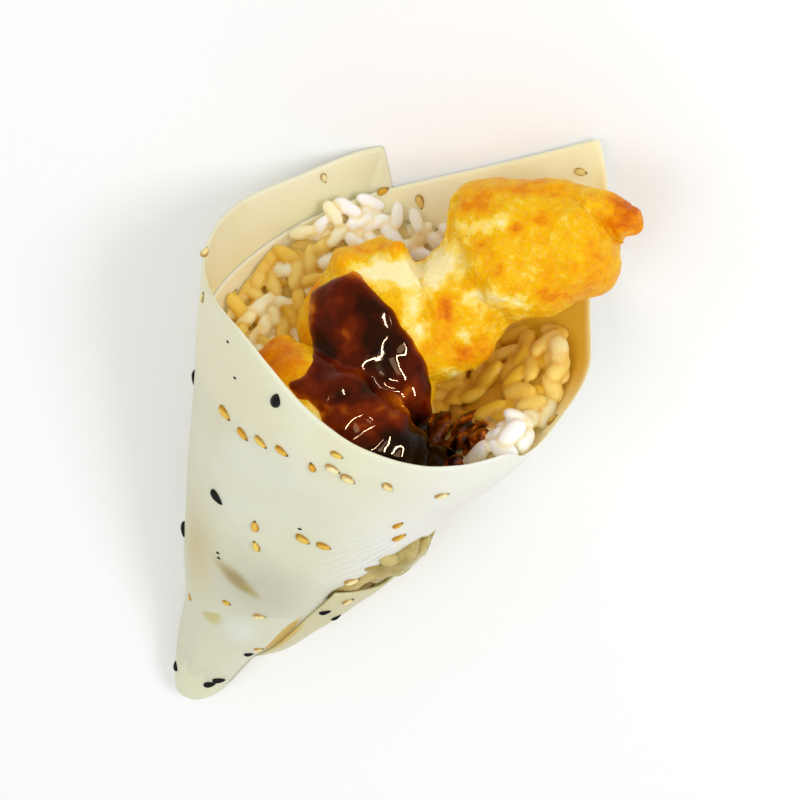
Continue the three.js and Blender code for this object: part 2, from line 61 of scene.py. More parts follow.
# the long edge round the mouth: (winding angle, distance)
RIM = [(67, 140), (57, 134), (39, 121), (14, 114.5), (-6, 110), (-24, 108.6),
       (-37, 111.6), (-49, 108.2), (-60, 106.2), (-80, 106.2), (-95, 108.2), (-122, 112.6),
       (-145, 110.2), (-163, 108.8), (-182, 110.6), (-220, 114.2), (-244, 121)]
LEAN = 1.6                         # how far the left corner leans out
# the gap at the lower right: winding angles, and (angle, distance) along its edges
GAP_FROM, GAP_TO = -50, 22
GAP_UPPER = [(-50, 66), (-45, 69.5), (-41, 73), (-37, 78.5), (-28, 82), (-20, 81), (-8, 79),
             (6, 80), (22, 77)]
GAP_LOWER = [(-50, 63), (-24, 62), (0, 63), (22, 68)]
TIP_END, TIP_SLANT, TIP_TOP = 16, 2.6, 25     # distances of the closed end, and its slant
FOLD = 40                                     # distance at which the cone is pinched
TIP_PROFILE = [(0, 0.12), (0.3, 0.42), (0.9, 0.66), (2.2, 0.88), (5, 1), (12, 1)]    # (mm up, width)
ORIGIN = (-0.3, 79.1)              # the cone frame's apex in the shared frame

# stations of the fried pieces: e, b and s of the middle, half-width to the left and to the
# right, and half-thickness
LONG_PIECE = [
    (25.4, 15.5, 139.6, 1.8, 2.2, 1.8), (23, 15.5, 137.4, 4.2, 2.6, 2.8),
    (21.4, 15, 135.6, 6, 6.4, 5), (19.6, 14, 133.8, 7.4, 9.4, 7), (16.4, 13, 130.6, 9.6, 10.2, 8),
    (12.6, 11.5, 126.4, 12.8, 11, 8.5), (10.3, 10.5, 123, 12.6, 10, 8.5),
    (8.7, 9.5, 120.2, 9, 8.6, 6.8), (7.2, 8.5, 117.2, 7.4, 9.6, 6.6), (6, 7.2, 114.8, 7.8, 10.8, 7.4),
    (5.2, 6, 113.2, 13.6, 11, 7.8), (4.4, 5, 112, 15.4, 11.4, 8), (3.3, 3, 109.4, 16.4, 9.8, 9),
    (2.2, 1, 106, 16, 8.4, 9.6), (1.8, -1.5, 102.8, 14.6, 9.4, 9.6), (2, -4.5, 99.4, 10.6, 9, 8.6),
    (3, -7, 96.4, 7.6, 7.4, 6), (4.2, -8.5, 93.8, 4, 4, 3.4)]
SHORT_PIECE = [
    (-14.8, -7, 97.6, 2.4, 2.4, 2.2), (-11.6, -9, 99.8, 5, 5, 4.4), (-5.8, -13, 100.2, 6.4, 6.4, 5.4),
    (1, -15, 100.4, 7, 7, 5.6), (8, -15, 100.6, 6, 6, 5), (12.2, -14, 101, 3.4, 3.4, 3)]
SHOWN_SIDE = np.array([0, -0.79, 0.62])              # towards the camera, in the cone frame
LUMPS, LUMP_HEIGHT, RIPPLE = 26, (-0.35, 1.15), 0.5  # lumps on a piece, least and most height

GRAIN = (6.6, 3.3, 2.9)            # length, width and height
RICE_BOTTOM, RICE_BULGE = 41, 3.4  # where the heap begins, and how far it bulges from the gap

TA, TB = math.tan(HALF_WIDE), math.tan(HALF_DEEP)
SIN_T, COS_T = math.sin(HALF_DEEP), math.cos(HALF_DEEP)


# ---- numbers
def smooth(a, b, x):
    """Smooth step from 0 at a to 1 at b."""
    t = np.clip((np.asarray(x, float) - a) / (b - a), 0, 1)
    return t * t * (3 - 2 * t)


def bell(x, w):
    """Bell curve of half-width w."""
    return np.exp(-(np.asarray(x, float) / w) ** 2)


def wrap(a):
    """Angle in degrees, -180 to 180."""
    return (np.asarray(a, float) + 180) % 360 - 180


def through(table, x):
    """Smooth curve through (place, value) pairs, as in the CAD source."""
    pts = np.array(sorted(table), float)
    xs, ys = pts[:, 0], pts[:, 1]
    x = np.asarray(x, float)
    i = np.clip(np.searchsorted(xs, x, side="right") - 1, 0, len(xs) - 2)
    before, after = np.maximum(i - 1, 0), np.minimum(i + 2, len(xs) - 1)
    x0, x1, y0, y1 = xs[i], xs[i + 1], ys[i], ys[i + 1]
    t = np.clip((x - x0) / (x1 - x0), 0, 1)
    m0 = (y1 - ys[before]) / (x1 - xs[before]) * (x1 - x0)
    m1 = (ys[after] - y0) / (xs[after] - x0) * (x1 - x0)
    t2, t3 = t * t, t * t * t
    return (2 * t3 - 3 * t2 + 1) * y0 + (t3 - 2 * t2 + t) * m0 + (3 * t2 - 2 * t3) * y1 + (t3 - t2) * m1


def seeded(seed):
    """The small random generator that the CAD source uses."""
    state = [seed & 0xFFFFFFFF]

    def draw():
        state[0] = (state[0] + 0x6D2B79F5) & 0xFFFFFFFF
        a = state[0]
        t = ((a ^ (a >> 15)) * (a | 1)) & 0xFFFFFFFF
        t ^= (t + (((t ^ (t >> 7)) * (t | 61)) & 0xFFFFFFFF)) & 0xFFFFFFFF
        return ((t ^ (t >> 14)) & 0xFFFFFFFF) / 4294967296
    return draw


LATTICE = np.random.RandomState(7).permutation(256)
SLOPES = np.random.RandomState(8).normal(size=(256, 3))
SLOPES /= np.linalg.norm(SLOPES, axis=1, keepdims=True)


def gradient_noise(p):
    """Perlin noise at the rows of p, about -1 to 1."""
    cell = np.floor(p).astype(int)
    f = p - cell
    u = f * f * f * (f * (f * 6 - 15) + 10)
    total = np.zeros(len(p))
    for corner in np.ndindex(2, 2, 2):
        i, j, k = (cell + corner).T
        slope = SLOPES[LATTICE[(LATTICE[(LATTICE[i & 255] + j) & 255] + k) & 255]]
        weight = np.prod(np.where(corner, u, 1 - u), axis=1)
        total += weight * ((f - corner) * slope).sum(1)
    return total * 1.7


def noise3(points, size, octaves=2, seed=0.0, gain=0.5):
    """Fractal noise at points in mm, with features of the given size."""
    p = np.asarray(points, float).reshape(-1, 3)
    out, amp, total = np.zeros(len(p)), 1.0, 0.0
    for o in range(octaves):
        out += amp * gradient_noise(p / (size * 0.5 ** o) + seed * 7.31 + o * 19.7)
        total += amp
        amp *= gain
    return out / total


# ---- the cone's skin
def turn_off(phi):
    """How far the winding lies outside the plain cone, in mm."""
    return LAP * (-90 - np.asarray(phi, float)) / 360


def pressed(phi, s):
    """How far the last layer is pressed down where the tip is pinched."""
    return (LAP - 0.05) * smooth(42, 35, s) * smooth(-300, -350, phi)


def outermost(psi, s):
    """Offset of the outermost layer at an angle."""
    p = wrap(psi)
    phi = np.where(p < END + 360, p, p - 360)
    return turn_off(phi) - pressed(phi, s)


LIFT = PAPER / 2 + float(turn_off(-270)) - FLAT_DEPTH


def to_world(e, b, s):
    """Cone frame in mm to the shared frame in metres."""
    e, b, s = (np.asarray(v, float) for v in (e, b, s))
    x = ORIGIN[0] - e
    y = ORIGIN[1] - (s * COS_T + b * SIN_T)
    z = s * SIN_T - b * COS_T + LIFT
    return np.stack(np.broadcast_arrays(x, y, z), -1) * MM


def to_cone(p):
    """Shared frame in metres to the cone frame in mm."""
    x, y, z = p[..., 0] / MM - ORIGIN[0], p[..., 1] / MM - ORIGIN[1], p[..., 2] / MM - LIFT
    return np.stack([-x, -y * SIN_T - z * COS_T, -y * COS_T + z * SIN_T], -1)


def turned(v):
    """A direction of the cone frame in the shared frame."""
    return Vector((-v[0], -(v[2] * COS_T + v[1] * SIN_T), v[2] * SIN_T - v[1] * COS_T))


def mounds(table, off, y):
    """Sum of mounds (x, y, half-widths, height); off(x) is how far x lies beside the point."""
    return sum(high * bell(off(x), wide) * bell(y - at, long) for x, at, wide, long, high in table)


# swells and dents of the cone: (angle, distance, half-widths, height in mm)
SWELLS = [
    (185, 82, 40, 26, 0.45), (195, FOLD, 45, 9, -1.0), (-90, FOLD - 1, 40, 4.5, -1.1),
    (-118, 52, 12, 5, -0.9), (-112, 61, 16, 6, 0.6), (-16, 88, 20, 5, -0.9),
    (-12, 46, 34, 6, -1.0), (-12, 32, 34, 7, -2.3), (-14, 66, 26, 7, 0.6)]


def swell(psi, s):
    """How far the cone swells beyond its plain form, in mm."""
    d = mounds(SWELLS, lambda at: wrap(psi - at), s) - 2.7 * smooth(47, 31, s) * bell(wrap(psi + 10), 62)
    return d + 0.35 * np.sin(wrap(psi) * 0.09 + s * 0.16) * smooth(60, 100, s)


def skin(psi, s, off, level):
    """Cone skin at an angle, a distance and an offset outwards, in metres."""
    psi, s, off = np.broadcast_arrays(np.asarray(psi, float), np.asarray(s, float), np.asarray(off, float))
    c, q = np.cos(np.radians(psi)), np.sin(np.radians(psi))
    deep = np.where(q < 0, TB * (1 - 0.30 * smooth(FOLD + 2, FOLD - 16, s)), TB)
    nx, ny = c / TA, q / deep
    n = np.hypot(nx, ny)
    o = off + swell(psi, s)
    p = to_world(s * TA * c + nx / n * o, s * deep * q + ny / n * o, s)
    p[..., 2] = np.maximum(p[..., 2], np.asarray(level, float) * MM)
    return p


def bulge(psi, s):
    """Swelling of the rice through the gap at the lower right."""
    p = wrap(psi)
    low, high = through(GAP_LOWER, p), through(GAP_UPPER, p)
    window = smooth(GAP_FROM - 4, GAP_FROM + 24, p) * smooth(GAP_TO - 4, GAP_TO - 32, p)
    across = (s - low - 0.66 * (high - low)) / (0.27 * (high - low))
    return RICE_BULGE * window * np.exp(-across ** 4)


# ---- camera
TILT, ROLL = math.radians(38.0), math.radians(28.25)   # cone axis in the photograph
DISTANCE, PX_PER_MM, FRAME_PX = 400.0, 6.2, 800
APEX_PX, MOUTH = (170.0, 750.0), 97.0     # apex in the picture; distance where PX_PER_MM holds
CENTRE_PX = FRAME_PX / 2
FOCAL_PX = DISTANCE * PX_PER_MM

CAM_X = np.array([math.cos(ROLL), math.sin(TILT) * math.sin(ROLL), math.cos(TILT) * math.sin(ROLL)])
CAM_Y = np.array([-math.sin(ROLL), math.sin(TILT) * math.cos(ROLL), math.cos(TILT) * math.cos(ROLL)])
CAM_Z = np.array([0, -math.cos(TILT), math.sin(TILT)])
APEX_DEPTH = DISTANCE + MOUTH * math.sin(TILT)
APEX_IN_CAM = np.array([(APEX_PX[0] - CENTRE_PX) / FOCAL_PX * APEX_DEPTH,
                        -(APEX_PX[1] - CENTRE_PX) / FOCAL_PX * APEX_DEPTH, -APEX_DEPTH])
CAM_AT = -(APEX_IN_CAM[0] * CAM_X + APEX_IN_CAM[1] * CAM_Y + APEX_IN_CAM[2] * CAM_Z)
CAM_WORLD = Vector(to_world(*CAM_AT))
CAM_AXES = np.array([turned(c) for c in (CAM_X, CAM_Y, CAM_Z)])


def make_camera():
    cam = bpy.data.cameras.new("camera")
    obj = bpy.data.objects.new("camera", cam)
    bpy.context.scene.collection.objects.link(obj)
    obj.matrix_world = Matrix.Translation(CAM_WORLD) @ Matrix(CAM_AXES.T.tolist()).to_4x4()
    cam.sensor_width = 36
    cam.lens = cam.sensor_width * FOCAL_PX / FRAME_PX
    cam.clip_start, cam.clip_end = 0.01, 20
    bpy.context.scene.camera = obj


def to_pixels(points):
    """Shared-frame points to pixels of the photograph's frame."""
    x, y, z = ((np.asarray(points, float) - np.array(CAM_WORLD)) @ CAM_AXES.T).T
    return np.stack([CENTRE_PX + FOCAL_PX * x / -z, CENTRE_PX - FOCAL_PX * y / -z], -1)


def ray_of(x, y):
    """Unit direction from the camera through a pixel."""
    d = np.array([(x - CENTRE_PX) / FOCAL_PX, -(y - CENTRE_PX) / FOCAL_PX, -1]) @ CAM_AXES
    return Vector(d).normalized()


def on_segments(px, start, seg):
    """Offset of pixels from the nearest point of each segment, and its share along it."""
    p = px[:, None, :] - start
    t = np.clip((p * seg).sum(-1) / (seg ** 2).sum(-1), 0, 1)
    return p - t[..., None] * seg, t


def outline_distance(px, outline):
    """Signed distance in pixels to a closed outline, positive inside."""
    poly = np.array(outline, float)
    seg = np.roll(poly, -1, 0) - poly
    dist = np.linalg.norm(on_segments(px, poly, seg)[0], axis=-1).min(1)
    x, y = px[:, 0:1], px[:, 1:2]
    over = (poly[:, 1] > y) != (poly[:, 1] + seg[:, 1] > y)
    rise = np.where(seg[:, 1] == 0, 1e-9, seg[:, 1])
    cross = seg[:, 0] * (y - poly[:, 1]) / rise + poly[:, 0]
    inside_it = (over & (x < cross)).sum(1) % 2 == 1
    return np.where(inside_it, dist, -dist)


def line_distance(px, line):
    """Distance in pixels to an open line, positive on its right, and the share along it."""
    line = np.array(line, float)
    seg = np.diff(line, axis=0)
    off, t = on_segments(px, line[:-1], seg)
    dist = np.linalg.norm(off, axis=-1)
    rows, k = np.arange(len(px)), dist.argmin(1)
    side = seg[k, 0] * off[rows, k, 1] - seg[k, 1] * off[rows, k, 0]
    return dist[rows, k] * np.where(side > 0, 1, -1), (k + t[rows, k]) / len(seg)


def patches_at(world, patches, ragged):
    """Sum of soft oval patches (x, y, half-width, half-height, strength) in pixels."""
    out, px = np.zeros(len(world)), to_pixels(world)
    px = px + ragged * np.stack([noise3(world / MM, 2.6, 3, 51), noise3(world / MM, 2.6, 3, 52)], 1)
    for x, y, wide, high, strength in patches:
        out += strength * np.exp(-((px[:, 0] - x) / wide) ** 2 - ((px[:, 1] - y) / high) ** 2)
    return out


# ---- mesh tools
def new_mesh(name, verts, faces):
    mesh = bpy.data.meshes.new(name)
    mesh.from_pydata([tuple(v) for v in verts], [], [tuple(int(i) for i in f) for f in faces])
    bm = bmesh.new()
    bm.from_mesh(mesh)
    bmesh.ops.recalc_face_normals(bm, faces=bm.faces)
    bm.to_mesh(mesh)
    bm.free()
    return mesh


def piece(name, mesh, slot, *materials):
    """A piece that shows, on the object's one body."""
    mesh.shade_smooth()
    obj = bpy.data.objects.new(name, mesh)
    bpy.context.scene.collection.objects.link(obj)
    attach(obj, "root")
    for material in materials:
        mesh.materials.append(material)
    return obj


def paint(obj, name, values):
    """One number on each vertex, read by the materials."""
    attr = obj.data.attributes.new(name, "FLOAT", "POINT")
    attr.data.foreach_set("value", np.asarray(values, np.float32).ravel())


def vertices_of(mesh, key="co"):
    out = np.empty(len(mesh.vertices) * 3, np.float32)
    mesh.vertices.foreach_get(key, out)
    return out.reshape(-1, 3).astype(float)


def normals_of(mesh):
    return vertices_of(mesh, "normal")


def faces_of(mesh):
    return [tuple(p.vertices) for p in mesh.polygons]


def set_vertices(mesh, verts):
    mesh.vertices.foreach_set("co", np.asarray(verts, np.float32).ravel())
    mesh.update()


def closed_loft(rings):
    """Vertices and faces of a closed body from rings of equal length."""
    around, verts = len(rings[0]), np.concatenate(rings)
    low, high, last = len(verts), len(verts) + 1, len(verts) - around
    faces = []
    for start in range(0, last, around):
        for j in range(around):
            a, b = start + j, start + (j + 1) % around
            faces.append((a, b, b + around, a + around))
    for j in range(around):
        faces.append((j, (j + 1) % around, low))
        faces.append((last + j, last + (j + 1) % around, high))
    return np.concatenate([verts, [rings[0].mean(0)], [rings[-1].mean(0)]]), faces


def joined(parts):
    """Vertices and faces of several bodies as one."""
    faces, base = [], 0
    for verts, polys in parts:
        faces += [tuple(base + i for i in f) for f in polys]
        base += len(verts)
    return np.concatenate([verts for verts, _ in parts]), faces


def evaluated_mesh(obj):
    depsgraph = bpy.context.evaluated_depsgraph_get()
    return bpy.data.meshes.new_from_object(obj.evaluated_get(depsgraph))


def tree_of(*meshes):
    """Search tree over meshes in the shared frame."""
    verts, faces = joined([(vertices_of(mesh), faces_of(mesh)) for mesh in meshes])
    return BVHTree.FromPolygons(verts.tolist(), faces)


def height_over(tree, points):
    """Signed height in mm of points over the surface in a tree."""
    out = np.empty(len(points))
    for i, p in enumerate(points):
        at, normal, _, dist = tree.find_nearest(p)
        out[i] = dist if (Vector(p) - at).dot(normal) > 0 else -dist
    return out / MM


def many(name, items, unit, slot, material):
    """Join copies of a unit mesh: items are (centre, three scaled axes)."""
    points, faces = unit
    copies = joined([(points @ axes + centre, faces) for centre, axes in items])
    return piece(name, new_mesh(name, *copies), slot, material)


def fused(name, parts, voxel, rounds, keep=1.0):
    """One skin round many closed bodies: parts are (vertices, faces), voxel in mm."""
    raw = new_mesh(name, *joined(parts))
    obj = bpy.data.objects.new(name, raw)
    bpy.context.scene.collection.objects.link(obj)
    remesh = obj.modifiers.new("fuse", "REMESH")
    remesh.mode, remesh.voxel_size = "VOXEL", voxel * MM
    even = obj.modifiers.new("even", "SMOOTH")
    even.factor, even.iterations = 0.5, rounds
    if keep < 1:
        obj.modifiers.new("thin", "DECIMATE").ratio = keep
    mesh = evaluated_mesh(obj)
    bpy.data.objects.remove(obj)
    bpy.data.meshes.remove(raw)
    mesh.name = name
    return mesh


def loose_part(start):
    """The vertices that hang together with one vertex."""
    part, waiting = {start}, [start]
    while waiting:
        near = {vert for edge in waiting.pop().link_edges for vert in edge.verts} - part
        part |= near
        waiting += near
    return part


def trimmed(mesh, hidden, least):
    """Take away a mesh's marked vertices, and loose parts of fewer vertices than this."""
    bm = bmesh.new()
    bm.from_mesh(mesh)
    bm.verts.ensure_lookup_table()
    bmesh.ops.delete(bm, geom=[bm.verts[i] for i in np.flatnonzero(hidden)], context="VERTS")
    left, crumbs = set(bm.verts), []
    while left:
        part = loose_part(next(iter(left)))
        left -= part
        crumbs += part if len(part) < least else []
    bmesh.ops.delete(bm, geom=crumbs, context="VERTS")
    bm.to_mesh(mesh)
    bm.free()


# ---- materials
class Nodes:
    """Short-hand for a node material, whose colours are as they look on screen, 0 to 255."""

    def __init__(self, name):
        self.mat = bpy.data.materials.new(name)
        self.mat.use_nodes = True
        self.tree = self.mat.node_tree
        self.tree.nodes.clear()
        self.out = self.new("ShaderNodeOutputMaterial")
        self.bsdf = self.new("ShaderNodeBsdfPrincipled")
        self.put(self.out, 0, self.bsdf.outputs[0])

    def new(self, kind, **sets):
        node = self.tree.nodes.new(kind)
        for key, value in sets.items():
            setattr(node, key, value)
        return node

    def put(self, node, key, value):
        """Link or set one input of a node."""
        if isinstance(value, (int, float)):
            node.inputs[key].default_value = value
        elif isinstance(value, tuple):
            node.inputs[key].default_value = (*srgb(*value), 1)
        else:
            self.tree.links.new(value, node.inputs[key])

    def soft(self, weight, scale, *radius):
        """How light spreads under the surface."""
        self.bsdf.inputs["Subsurface Radius"].default_value = radius
        self.set(Subsurface_Weight=weight, Subsurface_Scale=scale)

    def set(self, **sets):
        """Set the surface's inputs, with _ for the blanks in their names."""
        for key, value in sets.items():
            self.put(self.bsdf, key.replace("_", " "), value)

    def value(self, attribute):
        return self.new("ShaderNodeAttribute", attribute_name=attribute).outputs["Fac"]

    def solid(self, texture, output, **inputs):
        """A texture laid out in the object's own space."""
        for key, value in inputs.items():
            texture.inputs[key].default_value = value
        self.put(texture, "Vector", self.new("ShaderNodeTexCoord").outputs["Object"])
        return texture.outputs[output]

    def noise(self, scale, detail, rough, seed):
        texture = self.new("ShaderNodeTexNoise", noise_dimensions="4D")
        return self.solid(texture, "Fac", W=seed, Scale=scale, Detail=detail, Roughness=rough)

    def cells(self, scale, seed):
        texture = self.new("ShaderNodeTexVoronoi", voronoi_dimensions="4D")
        return self.solid(texture, "Distance", W=seed, Scale=scale)

    def ramp(self, fac, stops):
        """Colour along stops of (place, red, green, blue)."""
        node = self.new("ShaderNodeValToRGB")
        ramp = node.color_ramp
        ramp.interpolation = "EASE"
        while len(ramp.elements) < len(stops):
            ramp.elements.new(0.5)
        for element, (place, *colour) in zip(ramp.elements, stops):
            element.position = place
            element.color = (*srgb(*colour), 1)
        self.put(node, 0, fac)
        return node.outputs["Color"]

    def level(self, fac, low, high, to_low=0.0, to_high=1.0):
        """Smooth step from one value to another."""
        node = self.new("ShaderNodeMapRange", interpolation_type="SMOOTHSTEP")
        for i, value in enumerate((fac, low, high, to_low, to_high)):
            self.put(node, i, value)
        return node.outputs[0]

    def math(self, operation, a, b=0.0):
        node = self.new("ShaderNodeMath", operation=operation)
        self.put(node, 0, a)
        self.put(node, 1, b)
        return node.outputs[0]

    def add(self, a, b):
        return self.math("ADD", a, b)

    def sub(self, a, b):
        return self.math("SUBTRACT", a, b)

    def mul(self, a, b):
        return self.math("MULTIPLY", a, b)

    def mix(self, fac, a, b, blend="MIX"):
        node = self.new("ShaderNodeMix", data_type="RGBA", blend_type=blend)
        for i, value in ((0, fac), (6, a), (7, b)):
            self.put(node, i, value)
        return node.outputs[2]

    def bump(self, height, strength, distance):
        node = self.new("ShaderNodeBump")
        node.inputs["Strength"].default_value = strength
        node.inputs["Distance"].default_value = distance
        self.put(node, "Height", height)
        self.put(self.bsdf, "Normal", node.outputs[0])


def srgb(*colour):
    """Linear light of a colour given as it looks on screen, 0 to 255."""
    shares = [c / 255 for c in colour]
    return tuple(c / 12.92 if c <= 0.04045 else ((c + 0.055) / 1.055) ** 2.4 for c in shares)


# ---- the wrapper
def sheet_top(phi):
    """Distance from the apex to the sheet's upper edge."""
    phi = np.asarray(phi, float)
    inner = np.radians(np.clip(SHORT_IN_TURN - (phi - CORNER_IN) * FLAT_PER_TURN, -85, 85))
    outer = np.radians(np.clip(SHORT_OUT_TURN + (phi - END) * FLAT_PER_TURN, -85, 85))
    outer_edge = SHORT_OUT / np.cos(outer) - SHORT_OUT_DIP * bell(phi + 370, 20)
    return np.where(phi > CORNER_IN, SHORT_IN / np.cos(inner),
                    np.where(phi < CORNER_OUT, outer_edge, through(RIM, phi)))


GRID_STEP, GRID_ROWS = 1.5, (30, 18, 36)     # degrees; rows below, along and above the gap


def sheet_grid():
    """Winding angles and distances of the sheet's vertices, rows along the gap's edges."""
    corners = [START, CORNER_IN, CORNER_OUT, GAP_FROM, GAP_TO]
    phis = np.unique(np.concatenate([np.arange(END, START, GRID_STEP), corners]))
    phis = phis[np.concatenate([[True], np.diff(phis) > 0.2])]
    low, top = TIP_TOP - 3, sheet_top(phis)
    near = smooth(22, 0, np.maximum(GAP_FROM - phis, phis - GAP_TO))
    edge_a = near * through(GAP_LOWER, phis) + (1 - near) * (low + (top - low) * 0.42)
    edge_b = near * through(GAP_UPPER, phis) + (1 - near) * (low + (top - low) * 0.60)
    rows = []
    for (a, b), n in zip(((low, edge_a), (edge_a, edge_b), (edge_b, top)), GRID_ROWS):
        rows += [a + (b - a) * k / n for k in range(n)]
    rows.append(top)
    return phis, np.stack(np.broadcast_arrays(*rows), 1)


def sheet_faces(phis, rows):
    """Faces of the sheet's grid, without those in the gap."""
    gap_rows = range(GRID_ROWS[0], GRID_ROWS[0] + GRID_ROWS[1])
    faces = []
    for column, middle in enumerate((phis[1:] + phis[:-1]) / 2):
        for row in range(rows - 1):
            if GAP_FROM < middle < GAP_TO and row in gap_rows:
                continue
            a = column * rows + row
            faces.append((a, a + rows, a + rows + 1, a + 1))
    return faces


FOLD_LINE = [(-140, 40), (-112, 46), (-89, 51), (-54, 55.5)]   # winding angle, distance


def paper_relief(P, S):
    """Small unevenness of the paper in mm."""
    around = np.stack([S * TA * np.cos(np.radians(P)), S * TB * np.sin(np.radians(P)), S + P * 0.02], -1)
    soft = noise3(around, 6.0, 2, 1).reshape(S.shape)
    crease = noise3(around * np.array([1.6, 1.6, 0.7]), 9.0, 3, 5).reshape(S.shape)
    relief = 0.09 * soft * smooth(44, 60, S) * smooth(104, 92, S) + 0.15 * crease
    # folds along the gap's edge, where the paper is drawn towards it
    along_it, across_it = 0.17 * P + 0.894 * S, 0.343 * P - 0.447 * S
    folds = noise3(np.stack([along_it / 1.8, across_it, 0 * S], -1), 2.2, 3, 6).reshape(S.shape)
    relief += 0.20 * folds * bell(P + 56, 24) * bell(S - 77, 10)
    # a fold across the lower part, under which the paper lies a little deeper
    drop = S - through(FOLD_LINE, P)
    under = smooth(0.8, -0.8, drop) * smooth(-11, -5, drop)
    relief -= 0.5 * under * smooth(-142, -126, P) * smooth(-54, -66, P)
    # long shallow pleats into the tip, where the layers lie close together
    pleats = np.sin(P * 0.21) * smooth(38, 28, S) * smooth(22, 27, S)
    return relief * smooth(25, 40, S) + 0.10 * pleats


def make_sheet(outer, inner):
    phis, S = sheet_grid()
    P = np.repeat(phis[:, None], S.shape[1], 1)
    off = turn_off(P) - pressed(P, S) + LEAN * smooth(-196, -240, P) * smooth(96, 122, S)
    off += (LAP - PAPER - 0.05) * smooth(CORNER_IN + 8, CORNER_IN + 40, P) * smooth(14, 3, sheet_top(P) - S)
    off -= 0.28 * smooth(END + 26, END + 4, P) * smooth(62, 56, S) * smooth(38, 42, S)
    level = np.where(P > -90, LAP, 0.0) + PAPER / 2
    pts = skin(P, S, off + paper_relief(P, S), level)
    mesh = bpy.data.meshes.new("wrapper_sheet")
    mesh.from_pydata([tuple(v) for v in pts.reshape(-1, 3)], [], sheet_faces(phis, S.shape[1]))
    obj = piece("wrapper_sheet", mesh, "soy_paper", outer, inner)
    paint(obj, "turn", P)
    paint(obj, "along", S)
    paint(obj, "depth", sheet_top(P) - S)
    paint(obj, "fold", S - through(FOLD_LINE, P))
    solid = obj.modifiers.new("paper", "SOLIDIFY")
    solid.thickness, solid.offset, solid.use_even_offset = PAPER * MM, 0, True
    solid.material_offset = 1
    return obj


def make_tip(outer):
    """The closed end, where all layers are pinched together."""
    around, reach = 120, TIP_TOP + 3 - TIP_END
    psi = START + np.arange(around) * 360 / around
    pleat = 0.22 * np.sin(np.radians(psi * 5))
    rings = []
    for up in np.linspace(0, 1, 34) ** 1.7 * reach:
        s = TIP_END + up + TIP_SLANT * np.cos(np.radians(psi)) * (1 - up / reach)
        middle = to_world(0, 0, TIP_END + up)
        wave = pleat * np.cos(s * 0.25) * smooth(21, 14, s) + 0.04 - 0.12 * smooth(22.5, 27, s)
        ring = skin(psi, s, outermost(psi, s) + PAPER / 2 + wave, 0)
        ring = middle + (ring - middle) * through(TIP_PROFILE, up)
        ring[:, 2] = np.maximum(ring[:, 2], 0)
        rings.append(ring)
    verts, faces = closed_loft(rings)
    obj = piece("wrapper_tip", new_mesh("wrapper_tip", verts, faces), "soy_paper", outer)
    paint(obj, "turn", np.full(len(verts), -90.0))
    paint(obj, "along", to_cone(verts)[:, 2])
    paint(obj, "fold", np.full(len(verts), -20.0))
    return obj


def spot(n, turn, along, at, reach, soft, tilt=0.0):
    """Soft spot on the paper at (winding angle, distance), with its half-widths."""
    beside = n.sub(turn, at[0])
    up = n.add(n.sub(along, at[1]), n.mul(beside, tilt))
    x, y = n.math("DIVIDE", beside, reach[0]), n.math("DIVIDE", up, reach[1])
    r = n.math("SQRT", n.add(n.mul(x, x), n.mul(y, y)))
    return n.level(r, 1.0, 1.0 - soft)


LET_THROUGH = 0.12            # share of the light that the paper lets through


def paper_surface(n, base, folds=0.0):
    """Finish of one face of the paper."""
    n.set(Base_Color=base, Roughness=0.36, IOR=1.42, Specular_IOR_Level=0.28)
    n.soft(0.35, 0.002, 1.0, 0.95, 0.6)
    grain = n.add(n.mul(n.noise(170, 4, 0.6, 4), 0.7), n.mul(n.noise(700, 3, 0.6, 2), 0.3))
    n.bump(n.add(grain, n.mul(folds, 0.5)), 0.25, 0.0005)
    translucent, both = n.new("ShaderNodeBsdfTranslucent"), n.new("ShaderNodeMixShader")
    n.put(translucent, 0, base)
    for i, value in enumerate((LET_THROUGH, n.bsdf.outputs[0], translucent.outputs[0])):
        n.put(both, i, value)
    n.put(n.out, 0, both.outputs[0])
    return n.mat


def gap_folds(n, turn, along):
    """Fine folds where the paper is drawn towards the gap."""
    slant = n.mul(n.sub(along, n.mul(turn, 0.767)), 1.5)
    slant = n.add(slant, n.mul(n.noise(130, 3, 0.5, 14), 16.0))
    return n.mul(n.math("SINE", slant), spot(n, turn, along, (-54, 77), (30, 15), 0.9))


# stains, painted shade and painted highlight of the paper's outer face: (winding angle,
# distance) of the middle, half-widths, softness, tilt, kind of edge, strength and colour
STAINS_AND_PAINTED_LIGHT = [
    # a tan patch of painted shade on the left, where the rice lies under the paper
    ((-134, 58), (30, 15), 1.0, 0.0, "above", 0.62, (214, 190, 130)),
    ((-84, 61), (44, 14), 0.9, 0.0, "veil", 0.66, (190, 190, 172)),
    ((-100, 61.6), (21, 3.0), 0.9, 0.09, "ragged", 0.85, (166, 138, 76)),
    ((-90, 60.6), (9, 1.8), 0.9, 0.09, "ragged", 0.5, (178, 162, 70)),
    # a painted highlight under the fold, and a painted shadow pocket at its left
    ((-84, 46), (22, 7), 0.9, 0.0, "below", 0.6, (240, 246, 232)),
    ((-112, 46), (16, 4.4), 0.6, 0.0, "below", 0.75, (206, 192, 104)),
    # an amber band of painted shade along the seam, on the layer beneath and on the flap's edge
    ((-53.5, 48.5), (4.6, 9), 0.45, 0.0, "plain", 0.9, (210, 168, 58)),
    ((-410, 49), (6, 8), 0.7, 0.0, "plain", 0.8, (214, 180, 80))]


